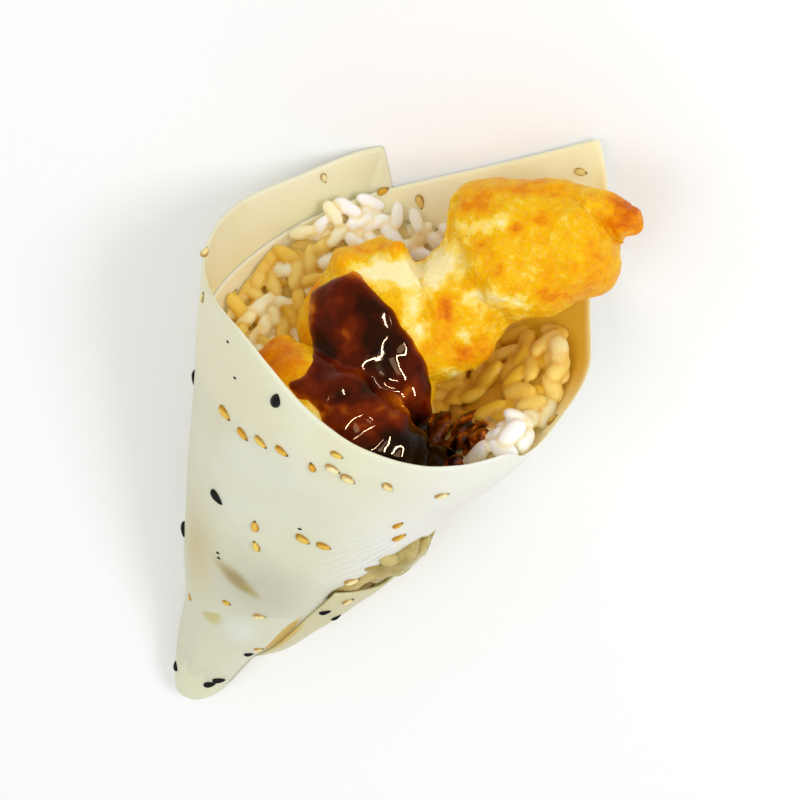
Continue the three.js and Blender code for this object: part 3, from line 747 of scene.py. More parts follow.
def outer_paper():
    n = Nodes("soy_paper_outside")
    turn, along, fold = n.value("turn"), n.value("along"), n.value("fold")
    cloud = n.noise(55, 4, 0.55, 1)
    base = n.ramp(cloud, [(0.30, 236, 236, 200), (0.70, 241, 244, 217)])
    # painted light: towards the right the paper is painted lighter, where the light falls on it
    base = n.mix(n.level(turn, -80, -38, 0.0, 0.7), base, (252, 255, 248))
    # painted shade: the left side, the lower part and the last layer are painted a little darker and warmer
    base = n.mix(n.level(turn, -112, -150, 0.0, 0.35), base, (228, 220, 184))
    base = n.mix(n.level(along, 76, 60, 0.0, 0.5), base, (216, 216, 182))
    base = n.mix(n.level(turn, -326, -344, 0.0, 0.55), base, (214, 200, 140))
    # above the fold the rice shows through, under it the paper is painted lighter as a highlight, with a
    # painted shadow pocket at its left
    above, below = n.level(fold, -0.5, 0.7), n.level(fold, 0.4, -0.5)
    veil = n.mul(n.level(cloud, 0.25, 0.6, 0.55, 1.0), above)
    ragged = n.add(along, n.mul(n.noise(220, 3, 0.6, 21), 2.4))
    edges = {"above": (along, above), "veil": (along, veil), "below": (along, below),
             "ragged": (ragged, 1.0), "plain": (along, 1.0)}
    # each mark is a stain, a painted shade or a painted highlight, laid over the base
    for at, reach, soft, tilt, edge, strength, colour in STAINS_AND_PAINTED_LIGHT:
        place, mask = edges[edge]
        stain_and_painted_light = n.mul(spot(n, turn, place, at, reach, soft, tilt), mask)
        base = n.mix(n.mul(stain_and_painted_light, strength), base, colour)
    return paper_surface(n, base, gap_folds(n, turn, along))


def inner_paper():
    n = Nodes("soy_paper_inside")
    turn, depth = n.value("turn"), n.value("depth")
    base = n.ramp(n.noise(45, 3, 0.5, 9), [(0.30, 243, 235, 192), (0.70, 248, 243, 212)])
    # painted shade: deeper in the mouth the inner face is painted amber
    deep = n.mul(n.level(depth, 4, 17), n.level(turn, -190, -150, 0.18, 0.6))
    base = n.mix(deep, base, (240, 190, 70))
    # beside the fried piece the right wall is painted amber, as painted shade and light thrown back from
    # the batter
    beside = n.mul(n.level(turn, -8, 26), n.level(turn, 66, 50))
    beside = n.mul(beside, n.level(depth, -1.5, 2.0))
    base = n.mix(n.mul(beside, 0.95), base, (222, 168, 34))
    # painted glow: a little emission on the inner ply stands in for light that comes through the paper,
    # less of it on the amber wall
    painted_glow = n.sub(n.level(turn, -100, -20, 0.02, 0.15), n.mul(beside, 0.08))
    n.set(Emission_Color=n.mix(beside, (255, 234, 176), (232, 176, 10)), Emission_Strength=painted_glow)
    return paper_surface(n, base)


# ---- seeds
# where seeds show: (x, y) in pixels, turn of the long axis in degrees from the
# picture's right towards its top, and length in mm
TAN_SEEDS = [
    (225, 413, -50, 2.9), (243, 434, -55, 2.6), (261, 442, -50, 2.7), (282, 451, -30, 2.6),
    (312, 467, 80, 2.2), (337, 455, -40, 2.2), (333, 469, -50, 2.7), (348, 479, -60, 2.9),
    (388, 487, -70, 2.6), (255, 526, 70, 2.6), (256, 546, 80, 2.5), (303, 539, -65, 2.9),
    (324, 546, -50, 2.7), (398, 525, 50, 2.0), (399, 537, 15, 2.5), (442, 495, 10, 2.5),
    (352, 581, 20, 2.7), (348, 601, 50, 2.2), (260, 616, 5, 2.3), (227, 603, 10, 1.8),
    (190, 597, 60, 1.4), (259, 649, 20, 1.8), (205, 252, 70, 2.2), (203, 297, 20, 2.0),
    (324, 178, -60, 2.0), (383, 191, 30, 2.2), (420, 202, -80, 2.6), (581, 172, -5, 2.3),
    (233, 295, 60, 2.3), (259, 290, 70, 2.3), (553, 420, 40, 2.3)]
BLACK_SEEDS = [
    (276, 400, 50, 3.2), (217, 497, -40, 3.1), (191, 377, -60, 2.6), (181, 529, -70, 2.8),
    (325, 612, -5, 2.1), (336, 617, 45, 1.9), (249, 654, 45, 1.9), (176, 666, 50, 2.1),
    (210, 684, 30, 2.5), (219, 680, -35, 2.5)]
SPECKS = [(228, 342), (235, 378), (218, 553), (219, 558), (300, 529), (391, 221)]
# seeds on the sides that the photograph doesn't show: winding angle, distance,
# turn, length, and whether the seed is black
SIDE_SEEDS = [
    (-330, 62, 30, 3.0, 0), (-322, 48, 80, 2.8, 1), (35, 96, 20, 3.0, 0), (42, 112, -30, 3.0, 1),
    (-190, 96, 50, 3.1, 0), (-198, 78, 10, 3.0, 0), (-204, 62, 70, 2.8, 1)]
SEED_WIDTH, SEED_HEIGHT = 0.54, 0.42      # as shares of the length
SPECK = 0.75                              # length of a dark speck in mm


def seed_mesh():
    """Unit sesame seed: a flat drop with its point at +x, lying on z = 0."""
    around, rings = 14, []
    for x in np.cos(np.linspace(0.12, math.pi - 0.12, 12)):
        r = math.sqrt(1 - x * x) * (1 - 0.34 * x - 0.12 * x * x)
        a = np.arange(around) * 2 * math.pi / around
        side, up = np.cos(a) * r, np.sin(a) * r
        rings.append(np.stack([np.full(around, x), side, up + 0.10 * (1 - side ** 2)], 1))
    return closed_loft(rings)


def seed_axes(normal, direction, length):
    """Scaled axes of a seed lying on a surface."""
    u = direction - normal * direction.dot(normal)
    u.normalize()
    v = normal.cross(u)
    half = length / 2 * MM
    return np.array([u * half, v * half * SEED_WIDTH, normal * half * SEED_HEIGHT])


def shown_seed(tree, x, y, turn, length):
    """A seed on the paper where the ray through a pixel first meets it."""
    at, normal, _, _ = tree.ray_cast(CAM_WORLD, ray_of(x, y))
    if at is None:
        at, normal, _, _ = tree.find_nearest(nearest_to_ray(tree, x, y))
    if normal.dot(ray_of(x, y)) > 0:
        normal = -normal
    a = math.radians(turn)
    direction = Vector(math.cos(a) * CAM_AXES[0] + math.sin(a) * CAM_AXES[1])
    return np.array(at), seed_axes(normal, direction, length)


def nearest_to_ray(tree, x, y):
    """Point on the ray through a pixel that comes nearest to the paper."""
    ray, best = ray_of(x, y), None
    for k in np.linspace(0.33, 0.47, 60):
        p = CAM_WORLD + ray * k
        dist = tree.find_nearest(p)[3]
        if best is None or dist < best[0]:
            best = (dist, p)
    return best[1]


def side_seed(tree, turn_at, s, turn, length):
    """A seed on a side that the photograph doesn't show."""
    at, normal, _, _ = tree.find_nearest(Vector(skin(turn_at, s, turn_off(turn_at) + PAPER, 0)))
    a = math.radians(turn)
    along = Vector(turned((0, 0, 1)))
    round_it = normal.cross(along)
    return np.array(at), seed_axes(normal, math.cos(a) * along + math.sin(a) * round_it, length)


def make_seeds(sheet, tip):
    tree = tree_of(evaluated_mesh(sheet), tip.data)
    tan = [shown_seed(tree, *seed) for seed in TAN_SEEDS]
    black = [shown_seed(tree, *seed) for seed in BLACK_SEEDS]
    for *place, is_black in SIDE_SEEDS:
        (black if is_black else tan).append(side_seed(tree, *place))
    black += [shown_seed(tree, x, y, 0, SPECK) for x, y in SPECKS]
    unit = seed_mesh()
    obj = many("seeds_tan", tan, unit, "soy_paper", tan_seed_material())
    many("seeds_black", black, unit, "soy_paper", black_seed_material())
    draw = random.Random(4)
    paint(obj, "tint", np.repeat([draw.random() for _ in tan], len(unit[0])))
    paint(obj, "point", np.tile(unit[0][:, 0], len(tan)))
    paint(obj, "rim", np.tile(np.hypot(unit[0][:, 0], unit[0][:, 1]), len(tan)))


def tan_seed_material():
    n = Nodes("sesame_tan")
    base = n.ramp(n.value("tint"), [(0.0, 214, 164, 50), (0.45, 230, 198, 96), (1.0, 238, 230, 180)])
    patchy = n.add(n.value("rim"), n.mul(n.noise(1300, 2, 0.5, 8), 0.6))
    base = n.mix(n.level(patchy, 0.9, 1.3, 0.0, 0.8), base, (158, 106, 12))
    point = n.add(n.value("point"), n.mul(n.noise(900, 2, 0.5, 3), 0.5))
    base = n.mix(n.level(point, 0.85, 1.25, 0.0, 0.9), base, (60, 34, 8))
    n.set(Base_Color=base, Roughness=0.4, Specular_IOR_Level=0.15)
    n.soft(0.2, 0.0008, 1.0, 0.7, 0.2)
    n.bump(n.noise(1500, 2, 0.5, 4), 0.2, 0.0002)
    return n.mat


def black_seed_material():
    n = Nodes("sesame_black")
    base = n.ramp(n.noise(1200, 3, 0.6, 5), [(0.35, 6, 6, 5), (0.75, 26, 24, 20)])
    n.set(Base_Color=base, Roughness=0.42, Specular_IOR_Level=0.15)
    n.bump(n.noise(1800, 2, 0.5, 6), 0.4, 0.0002)
    return n.mat


# ---- tempura
def station_at(table, t):
    """The station at a share t of the way along a piece."""
    last = len(table) - 1
    return np.stack([through([(i / last, p[k]) for i, p in enumerate(table)], t) for k in range(6)], -1)


def directions(table, t):
    """Along the piece, to the side that shows and to the left, at shares t."""
    ahead, behind = (station_at(table, np.clip(t + step, 0, 1))[..., :3] for step in (0.03, -0.03))
    forward = ahead - behind
    forward /= np.linalg.norm(forward, axis=-1, keepdims=True)
    shown = SHOWN_SIDE - forward * (forward @ SHOWN_SIDE)[..., None]
    shown /= np.linalg.norm(shown, axis=-1, keepdims=True)
    return forward, shown, np.cross(forward, shown)


def batter_rings(table, seed, rings, around):
    """Rings of a battered piece in the cone frame, its ends rounded."""
    draw = seeded(seed)
    least, most = LUMP_HEIGHT
    lumps = [(draw(), draw() * 360, 0.05 + 0.06 * draw(), 22 + 26 * draw(), draw() * (most - least) + least)
             for _ in range(LUMPS)]
    T, A = np.meshgrid(np.linspace(0, 1, rings), np.arange(around) * 360 / around, indexing="ij")
    station = station_at(table, T)
    forward, shown, leftward = directions(table, T)
    c = np.cos(np.radians(A)) * station[..., 5]
    q = np.sin(np.radians(A)) * np.where(wrap(A) > 0, station[..., 3], station[..., 4])
    r = np.hypot(c, q)
    d = RIPPLE * np.sin(np.radians(A) * 3 + T * 23 + seed) * np.sin(T * 17 + seed)
    for kt, ka, wt, wa, h in lumps:
        d += h * bell(T - kt, wt) * bell(wrap(A - ka), wa)
    grow = (r + d * np.minimum(1, r / 5)) / r
    pts = station[..., :3] + shown * (c * grow)[..., None] + leftward * (q * grow)[..., None]
    caps = []
    for row, sign in ((0, -1), (-1, 1)):
        push = forward[row, 0] * sign * station[row, 0, 5] * 0.85
        middle = station[row, 0, :3]
        caps.append([middle + (pts[row] - middle) * math.sqrt(1 - k * k) + push * k
                     for k in (0.25, 0.5, 0.7, 0.86, 0.96)])
    return caps[0][::-1] + list(pts) + caps[1]


def bubbles(points, seed, count, least, most):
    """Height of round blisters scattered over a surface, in shares of one."""
    rng = np.random.RandomState(seed)
    centres = points[rng.randint(len(points), size=count)]
    radii = rng.uniform(least, most, count)
    height = np.zeros(len(points))
    for centre, radius in zip(centres, radii):
        near = 1 - ((points - centre) ** 2).sum(1) / radius ** 2
        height = np.maximum(height, np.maximum(near, 0) * radius / most)
    return height


# lines in pixels where one swelling of the batter meets the next, each fading towards its
# end: points, width in pixels, depth of the groove and step on the line's right in mm
CREASES = [
    ([(457, 196), (452, 212), (453, 231), (462, 252), (474, 272)], 3.5, 0.25, -1.0),
    ([(419, 250), (421, 275), (428, 310), (432, 345), (434, 380)], 5, 1.0, 0),
    ([(505, 322), (496, 312), (482, 303), (463, 300)], 4, 0.4, -0.3),
    ([(497, 330), (480, 344), (460, 350), (440, 352)], 4, 0.45, -0.2),
    ([(617, 238), (605, 218), (585, 205), (566, 188)], 4, 0.6, 0.8)]
# patches of the batter that are more orange (above 0) or paler (below 0): its own browning, and orange
# patches of painted shade on the tail lobe behind and in the recesses
BATTER_TONE_AND_SHADE_PATCHES = [
    (478, 203, 15, 12, 0.45), (520, 188, 46, 10, 0.35), (515, 229, 8, 7, 0.5), (541, 222, 10, 7, 0.5),
    (630, 210, 20, 28, 0.95), (446, 312, 9, 18, 0.7), (380, 246, 44, 9, 0.35), (345, 262, 14, 12, 0.35),
    (500, 268, 6, 7, 0.5), (600, 262, 14, 34, 0.35), (560, 296, 36, 9, 0.35), (275, 360, 30, 28, 0.6),
    (483, 243, 7, 6, 0.5), (470, 352, 26, 14, 0.5), (560, 245, 40, 34, 0.05), (316, 300, 8, 24, 0.5),
    (393, 272, 34, 14, -1.0), (470, 226, 14, 8, -0.5), (502, 224, 12, 9, -0.4), (436, 266, 12, 22, -0.8),
    (414, 312, 9, 34, -0.5), (452, 374, 9, 6, -0.5), (478, 298, 22, 8, -0.6), (520, 302, 14, 8, -0.5),
    (460, 262, 16, 18, -0.35), (312, 408, 14, 20, -0.2), (462, 335, 10, 8, -0.5)]


# oval patches in pixels where the batter swells beyond the solid, with the height in mm
SWELLINGS = [
    (345, 262, 13, 12, 1.7), (398, 252, 15, 10, 2.0), (476, 268, 9, 18, 1.0),
    (492, 294, 9, 14, 1.1), (612, 262, 8, 16, 0.6), (560, 184, 30, 8, 0.5),
    (306, 318, 7, 14, 0.6)]


def crease_height(px, seen):
    """Height in mm of the folds between the batter's swellings."""
    height = np.zeros(len(px))
    for line, width, groove, step in CREASES:
        d, along = line_distance(px, line)
        rise = step * smooth(-0.6 * width, 0.6 * width, d) * bell(d, 6 * width) - groove * bell(d, width)
        height += rise * smooth(1.0, 0.7, along)
    return height * seen


def batter_tone(cone, seen, seed):
    """How brown the batter is fried, with painted shade in some orange patches: above 0 more orange, below
    0 paler.
    """
    tone = 0.20 * noise3(cone, 10.0, 2, seed + 5) + 0.20 * noise3(cone, 3.0, 2, seed + 6)
    return tone + seen * patches_at(to_world(*cone.T), BATTER_TONE_AND_SHADE_PATCHES, 9)


def make_batter(name, table, seed, rings, around, material):
    """A fried piece, with its places and normals before the blisters, on which sauce lies."""
    cone, faces = closed_loft([np.array(r) for r in batter_rings(table, seed, rings, around)])
    mesh = new_mesh(name, to_world(*cone.T), faces)
    normal, px = normals_of(mesh), to_pixels(vertices_of(mesh))
    seen = smooth(-0.1, 0.25, normal @ CAM_AXES[2])
    folds = crease_height(px, seen)
    folds += seen * patches_at(vertices_of(mesh), SWELLINGS, 4)
    set_vertices(mesh, vertices_of(mesh) + normal * (folds * MM)[:, None])
    cone = to_cone(vertices_of(mesh))
    normal = normals_of(mesh)
    tone = batter_tone(cone, seen, seed)
    blisters = bubbles(cone, seed, len(table) * 90, 0.3, 0.8) * smooth(0.8, -0.6, tone)
    grit = noise3(cone, 1.1, 3, seed + 3, 0.7)
    height = 0.36 * noise3(cone, 8.0, 2, seed) + 0.16 * blisters + 0.16 * grit
    height += 0.24 * noise3(cone, 3.2, 2, seed + 2)
    set_vertices(mesh, vertices_of(mesh) + normal * (height * MM)[:, None])
    obj = piece(name, mesh, "batter", material)
    paint(obj, "tone", tone)
    paint(obj, "height", 0.6 * grit + 0.7 * blisters)
    return obj, cone, normal, faces_of(mesh)


def batter_material():
    n = Nodes("fried_batter")
    cloud, fine = n.noise(420, 4, 0.6, 3), n.noise(1700, 4, 0.7, 6)
    froth = n.level(n.cells(1900, 8), 0.62, 0.12)
    tone = n.add(n.value("tone"), n.mul(n.sub(cloud, 0.5), 1.1))
    tone = n.add(tone, n.mul(n.sub(fine, 0.5), 0.55))
    tone = n.sub(tone, n.mul(n.value("height"), 0.22))
    base = n.ramp(n.level(tone, -1.1, 1.1), [
        (0.08, 252, 236, 176), (0.30, 250, 214, 88), (0.46, 241, 186, 5),
        (0.64, 239, 167, 0), (0.80, 230, 136, 0), (0.96, 206, 98, 0)])
    base = n.mix(n.mul(froth, n.level(tone, 0.4, -0.6, 0.02, 0.32)), base, (255, 238, 176))
    # small brown spots
    base = n.mix(n.level(n.cells(330, 12), 0.16, 0.06, 0.0, 0.45), base, (214, 122, 16))
    n.set(Base_Color=base, Roughness=n.level(fine, 0.3, 0.7, 0.24, 0.45), IOR=1.3,
          Specular_IOR_Level=0.4, Specular_Tint=(255, 231, 170))
    n.soft(0.2, 0.002, 1.0, 0.6, 0.04)
    n.bump(n.add(fine, n.mul(froth, 0.5)), 0.42, 0.0005)
    return n.mat


# name, stations, seed of its lumps, rings and points round each
BATTERS = [("long", LONG_PIECE, 11, 290, 210), ("short", SHORT_PIECE, 5, 140, 130)]


def make_tempura():
    batters, material = [], batter_material()
    for name, table, seed, rings, around in BATTERS:
        batters.append(make_batter(f"tempura_{name}_batter", table, seed, rings, around, material))
        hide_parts(f"tempura_{name}")
    return batters


# ---- sauce
# the sauce as it lies in the photograph's frame, in pixels
SAUCE_OUTLINE = [
    (354, 267), (340, 275), (322, 285), (312, 292), (308, 310), (307, 325), (311, 345), (311, 362),
    (305, 374), (285, 383), (296, 400), (308, 402), (318, 412), (322, 436), (349, 452), (398, 470),
    (447, 480), (484, 466), (478, 435), (470, 425), (455, 420), (440, 418), (432, 405), (432, 385),
    (425, 360), (412, 340), (400, 325), (395, 310), (383, 300), (370, 285), (362, 275)]
SAUCE_THICK = (1.05, 0.6)      # mm over the middle of the long and the short piece
SAUCE_SINK = 0.9              # how far its body reaches below the batter
EDGE_PX = 9                   # pixels over which the sauce rises from its edge
SAUCE_SEEN, SAUCE_CRUMB = -0.55, 1500    # mm over the batter, and fewest vertices of a part, kept
# bodies of the pool: middle in the cone frame and half-sizes in mm
POOL = [
    (11.5, -9.0, 95.0, 6.5, 5.5, 3.0), (7.5, -11.5, 95.5, 4.5, 4.0, 3.0),
    (14.0, -8.5, 96.0, 4.4, 3.8, 2.6), (15.5, -11.5, 96.5, 3.5, 2.6, 2.4),
    (17.5, -8.0, 97.0, 3.6, 3.6, 2.2)]
# patches of the sauce that are darker (above 0) or more amber (below 0); the darkest, over the hollow, is
# painted shade
SAUCE_TONE_AND_SHADE_PATCHES = [
    (322, 358, 15, 28, 0.4), (378, 350, 17, 32, 0.25), (345, 282, 9, 14, 0.2), (415, 450, 52, 22, 1.0),
    (350, 392, 26, 12, 0.3), (350, 343, 6, 24, -0.3), (362, 367, 7, 14, -0.3), (310, 308, 6, 28, -0.4),
    (334, 408, 24, 5, -0.25), (404, 396, 16, 13, -0.3), (330, 430, 12, 5, -0.25), (368, 426, 20, 5, -0.25)]


def sauce_layer(cone, normal, thick):
    """Batter surface pushed out where the sauce lies and sunk elsewhere."""
    world = to_world(*cone.T)
    inside_px = outline_distance(to_pixels(world), SAUCE_OUTLINE)
    faces_camera = smooth(-0.35, 0.15, normal @ CAM_AXES[2])
    cover = smooth(-3, EDGE_PX, inside_px + 3 * noise3(cone, 5, 2, 31)) * faces_camera
    waves = 0.30 * noise3(cone, 7, 1, 17) + 0.25 * noise3(cone, 3, 1, 18)
    rise = cover * (thick + waves) + (1 - smooth(0, 0.3, cover)) * -SAUCE_SINK
    return world + normal * (rise * MM)[:, None]


def pool_items():
    """Egg-shaped bodies of sauce that join the layers over the hollow."""
    points, polys = egg_mesh(20, 12)
    items = []
    for *middle, wide, deep, high in POOL:
        axes = np.array([turned((wide, 0, 0)), turned((0, deep, 0)), turned((0, 0, high))]) * MM
        items.append((points @ axes + to_world(*middle), polys))
    return items


def make_sauce(batters):
    """One sticky body over both pieces and the hollow between them."""
    layers = [(sauce_layer(cone, normal, thick), faces)
              for (_, cone, normal, faces), thick in zip(batters, SAUCE_THICK)]
    mesh = fused("sauce", layers + pool_items(), voxel=0.4, rounds=7)
    tree = tree_of(*(b[0].data for b in batters))
    trimmed(mesh, height_over(tree, vertices_of(mesh)) < SAUCE_SEEN, SAUCE_CRUMB)
    sauce = piece("sauce", mesh, "batter", sauce_material())
    # the sauce is darker where it lies thicker, and the patches add painted shade in the hollow
    depth = height_over(tree, vertices_of(mesh)) / 1.8
    paint(sauce, "thick", depth + patches_at(vertices_of(mesh), SAUCE_TONE_AND_SHADE_PATCHES, 12))
    return sauce


def sauce_material():
    n = Nodes("sweet_soy_sauce")
    cloud = n.mul(n.sub(n.noise(150, 4, 0.6, 7), 0.5), 0.8)
    base = n.ramp(n.add(n.value("thick"), cloud), [
        (0.02, 206, 118, 6), (0.16, 148, 66, 2), (0.32, 106, 30, 0), (0.55, 74, 14, 0),
        (0.78, 34, 5, 0), (1.0, 8, 1, 0)])
    n.set(Base_Color=base, Roughness=0.05, IOR=1.3, Specular_IOR_Level=0.4,
          Specular_Tint=(255, 206, 162))
    n.soft(0.08, 0.002, 1.0, 0.3, 0.02)
    n.bump(n.noise(260, 3, 0.5, 3), 0.10, 0.0006)
    return n.mat


# ---- rice
RICE_HIGHEST = 116            # the heap meets the paper no farther from the apex than this
GRAIN_SLIM = 0.92             # the heap's grains are slimmer than the solid's, as they lie closer
CORE_UNDER, CORE_AROUND = 1.3, 150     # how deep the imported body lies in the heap, its points round


# mounds and hollows of the heap: (e, b, half-widths, height) in mm
HEAP = [
    (-17, 21, 9, 9, 8), (-1, 27, 10, 8, 10.5), (25, -8, 6, 8, 13), (-24, 4, 7, 12, -3),
    (14, 10, 7, 9, -4), (-8, -22, 14, 8, 5), (12, -8, 5, 6, -5)]


def rice_top(e, b):
    """How far from the apex the heap ends."""
    e, b = np.asarray(e, float), np.asarray(b, float)
    h = 97.5 + 0.33 * b + 13 * smooth(10, 27, e) * bell(b - 12, 13)
    return h + mounds(HEAP, lambda at: e - at, b)


def inside(psi, s, off):
    """Inside face of the innermost layer less the clearance."""
    p = wrap(psi)
    eased = turn_off(p) + (turn_off(START) - turn_off(p)) * smooth(-106, -114, p)
    o = np.where(p < START - 360, turn_off(p + 360), eased) - PAPER / 2 - GAP + off
    return skin(p, s, o, LAP + PAPER + GAP - off)


def egg_mesh(around=12, rows=9):
    """Unit grain: x is its long axis, blunt at both ends and fuller at one."""
    rings = []
    for i in range(1, rows):
        x = math.cos(math.pi * i / rows)
        b = np.arange(around) * 2 * math.pi / around
        r = (1 - abs(x) ** 2.5) ** 0.5 * (1 - 0.10 * x)
        rings.append(np.stack([np.full(around, x), r * np.cos(b), r * np.sin(b) + 0.12 * x * x], 1))
    verts, faces = closed_loft(rings)
    verts[-2], verts[-1] = (1, 0, 0.12), (-1, 0, 0.12)
    return verts, faces


def core_rim(psi):
    """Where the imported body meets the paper: e, b and distance at each angle."""
    top = np.full(len(psi), 100.0)
    for _ in range(6):
        e, b, _ = to_cone(inside(psi, top, -0.6)).T
        top = np.minimum(rice_top(e, b), RICE_HIGHEST) - CORE_UNDER
    return e, b, top


def make_core(material):
    """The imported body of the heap, under the grains."""
    psi = START + np.arange(CORE_AROUND) * 360 / CORE_AROUND
    rim_e, rim_b, top = core_rim(psi)
    rings = []
    for f in np.linspace(0, 1, 60):
        s = RICE_BOTTOM + (top - RICE_BOTTOM) * f
        corner = 1.3 * bell(wrap(psi) + 41, 11) * bell(s - 66.5, 3.2)
        rings.append(inside(psi, s, -0.6 - 4.5 * bell(s - RICE_BOTTOM, 3) + bulge(psi, s) + corner))
    for k in np.linspace(0.97, 0.02, 34):
        rings.append(to_world(rim_e * k, rim_b * k, rice_top(rim_e * k, rim_b * k) - CORE_UNDER))
    verts, faces = closed_loft(rings)
    mesh = new_mesh("rice_core", verts, faces)
    lumps = noise3(verts / MM, 3.4, 2, 9)
    set_vertices(mesh, verts + normals_of(mesh) * (0.35 * lumps - 0.2)[:, None] * MM)
    obj = piece("rice_core", mesh, "rice", material)
    e, b, s = to_cone(verts).T
    # painted shade: warm shade as on the grains, the gap's shade, and the full shade of the clefts between
    # grains
    paint(obj, "tint", 0.5 - 0.5 * warmth_of_grain(e, b))
    paint(obj, "gap", smooth(86, 83, s))
    paint(obj, "painted_cleft_shade", np.ones(len(verts)))
    return obj


def pressed_in(world):
    """Points of the heap, those that would pass the paper pressed flat against it."""
    e, b, s = to_cone(world).T
    psi = np.degrees(np.arctan2(b / TB, e / TA))
    wall_e, wall_b, _ = to_cone(inside(psi, s, 0.2)).T
    share = np.minimum(1, np.hypot(wall_e, wall_b) / np.hypot(e, b))
    share = np.where(s > 88, share, 1)
    return to_world(e * share, b * share, s)


def fits_in_cone(points, slack):
    """Whether points of the cone frame stay this far inside the paper."""
    e, b, s = points.T
    round_it = (e / (s * TA - slack)) ** 2 + (b / (s * TB - slack)) ** 2 < 1
    over_floor = to_world(e, b, s)[:, 2] / MM > LAP + PAPER + slack * 0.6
    return round_it & over_floor


def grain_axes(u, facing, size, broad=1.0):
    """Scaled axes of a grain whose long axis is u and whose flat side faces out."""
    v = np.cross(facing, u)
    v /= np.linalg.norm(v)
    wide, high = GRAIN[1] * GRAIN_SLIM * broad, GRAIN[2] * GRAIN_SLIM
    return np.stack([u * GRAIN[0], v * wide, np.cross(u, v) * high]) / 2 * MM * size


def heap_frame(e, b):
    """Two directions along the heap's surface and the one out of it."""
    step = 0.5
    rise_e = (rice_top(e + step, b) - rice_top(e - step, b)) / (2 * step)
    rise_b = (rice_top(e, b + step) - rice_top(e, b - step)) / (2 * step)
    first = np.stack([np.ones_like(e), np.zeros_like(e), rise_e], 1)
    first /= np.linalg.norm(first, axis=1, keepdims=True)
    out = np.cross(first, np.stack([np.zeros_like(e), np.ones_like(e), rise_b], 1))
    out /= np.linalg.norm(out, axis=1, keepdims=True)
    return first, np.cross(out, first), out


# layers of grains in the heap: depth under its surface, spread of that, least distance apart
GRAIN_LAYERS = [(0.3, 0.4, 3.2), (1.6, 0.3, 3.0)]
GRAIN_TRIES, STREWN_AT = 12000, 114          # for each layer; distance of the widest circle
GRAIN_END = 0.42                             # where a grain's end counts, as a share of its length
GRAIN_CLEAR, MIDDLE_CLEAR, END_CLEAR = 0.5, 1.2, 0.7    # from the batter and from the paper, mm


def strewn(rng, depth, spread):
    """Grains thrown over the heap that fit in the cone, each with its middle, long axis,
    facing, size and how far it lies to the right, 0 to 1."""
    tries = GRAIN_TRIES
    a, rad = rng.uniform(0, 2 * math.pi, tries), np.sqrt(rng.rand(tries)) * 0.97
    e, b = STREWN_AT * TA * np.cos(a) * rad, STREWN_AT * TB * np.sin(a) * rad
    first, second, out = heap_frame(e, b)
    down = depth + rng.uniform(-spread, spread, tries)
    centres = np.stack([e, b, rice_top(e, b)], 1) - out * down[:, None]
    yaw, tilt = rng.uniform(0, 2 * math.pi, tries), rng.normal(0, 0.2, tries)
    along, across = np.cos(yaw) * np.cos(tilt), np.sin(yaw) * np.cos(tilt)
    axis = first * along[:, None] + second * across[:, None] + out * np.sin(tilt)[:, None]
    size = rng.uniform(0.80, 1.0, tries) - 0.08 * smooth(4, -4, e)
    reach = axis * (GRAIN[0] * GRAIN_END * size)[:, None]
    fits = fits_in_cone(centres, MIDDLE_CLEAR)
    for end in (centres + reach, centres - reach):
        fits &= fits_in_cone(end, END_CLEAR)
    right = smooth(2, 8, e)
    return [(centres[i], axis[i], out[i], size[i], right[i]) for i in np.flatnonzero(fits)]


def mouth_grains(tree):
    """Grains over the heap in the mouth, the upper layer first."""
    rng = np.random.RandomState(29)
    items, kept = [], []
    for depth, spread, apart in GRAIN_LAYERS:
        placed = np.full((1, 3), np.inf)
        for c, axis, out, size, right in strewn(rng, depth, spread):
            if ((placed - c) ** 2).sum(1).min() < (apart * size * (1 + 0.08 * right)) ** 2:
                continue
            reach = axis * (GRAIN[0] * GRAIN_END * size) * 0.8
            along_it = [to_world(*c), to_world(*(c + reach)), to_world(*(c - reach))]
            if height_over(tree, along_it).min() < GRAIN_CLEAR:
                continue
            placed = np.vstack([placed, c])
            axes = grain_axes(np.array(turned(axis)), np.array(turned(out)), size, 1 + 0.22 * right)
            items.append((to_world(*c), axes))
            kept.append(np.append(c, depth))
    return items, np.array(kept)


def gap_grains():
    """Grains that show in the gap between the layers at the lower right."""
    rng = np.random.RandomState(3)
    items, placed = [], np.zeros((0, 3))
    for _ in range(900):
        p, s, turn = rng.uniform(-48, 2), rng.uniform(62, 84), rng.uniform(0, math.pi)
        if not through(GAP_LOWER, p) + 1.5 < s < through(GAP_UPPER, p) - 2.2:
            continue
        at = inside(p, s, bulge(p, s) - rng.uniform(1.9, 2.3))
        if len(placed) and ((placed - at) ** 2).sum(1).min() < (3.0 * MM) ** 2:
            continue
        placed = np.vstack([placed, at])
        up, side = inside(p, s + 1, 0) - inside(p, s, 0), inside(p + 3, s, 0) - inside(p, s, 0)
        up, side = up / np.linalg.norm(up), side / np.linalg.norm(side)
        u = up * math.cos(turn) + side * math.sin(turn)
        w = np.cross(up, side)
        axes = np.stack([u * GRAIN[0], np.cross(w, u) * GRAIN[1], w * GRAIN[2]]) / 2 * MM * 0.95
        items.append((at, axes))
    return items


def warmth_of_grain(e, b):
    """How warm the shade is in which a grain lies, 0 to 1."""
    right = smooth(3, 12, e) * smooth(-3, 3, b) * (1 - 0.5 * smooth(21, 27, e))
    left = 0.75 * smooth(-6, -14, e) * smooth(20, 12, b)
    return np.maximum(right, left)


def nearest_grains(items, points):
    """The grain each point belongs to, and how near to it the next grain comes, mm."""
    finder = KDTree(len(items) * 3)
    for i, (centre, axes) in enumerate(items):
        for share in (-0.55, 0, 0.55):
            finder.insert(centre + axes[0] * share, i)
    finder.balance()
    owner, lead = np.zeros(len(points), int), np.ones(len(points))
    for k, point in enumerate(points):
        found = finder.find_n(point, 6)
        owner[k] = found[0][1]
        others = [dist for _, i, dist in found if i != owner[k]]
        if others:
            lead[k] = (others[0] - found[0][2]) / MM
    return owner, lead


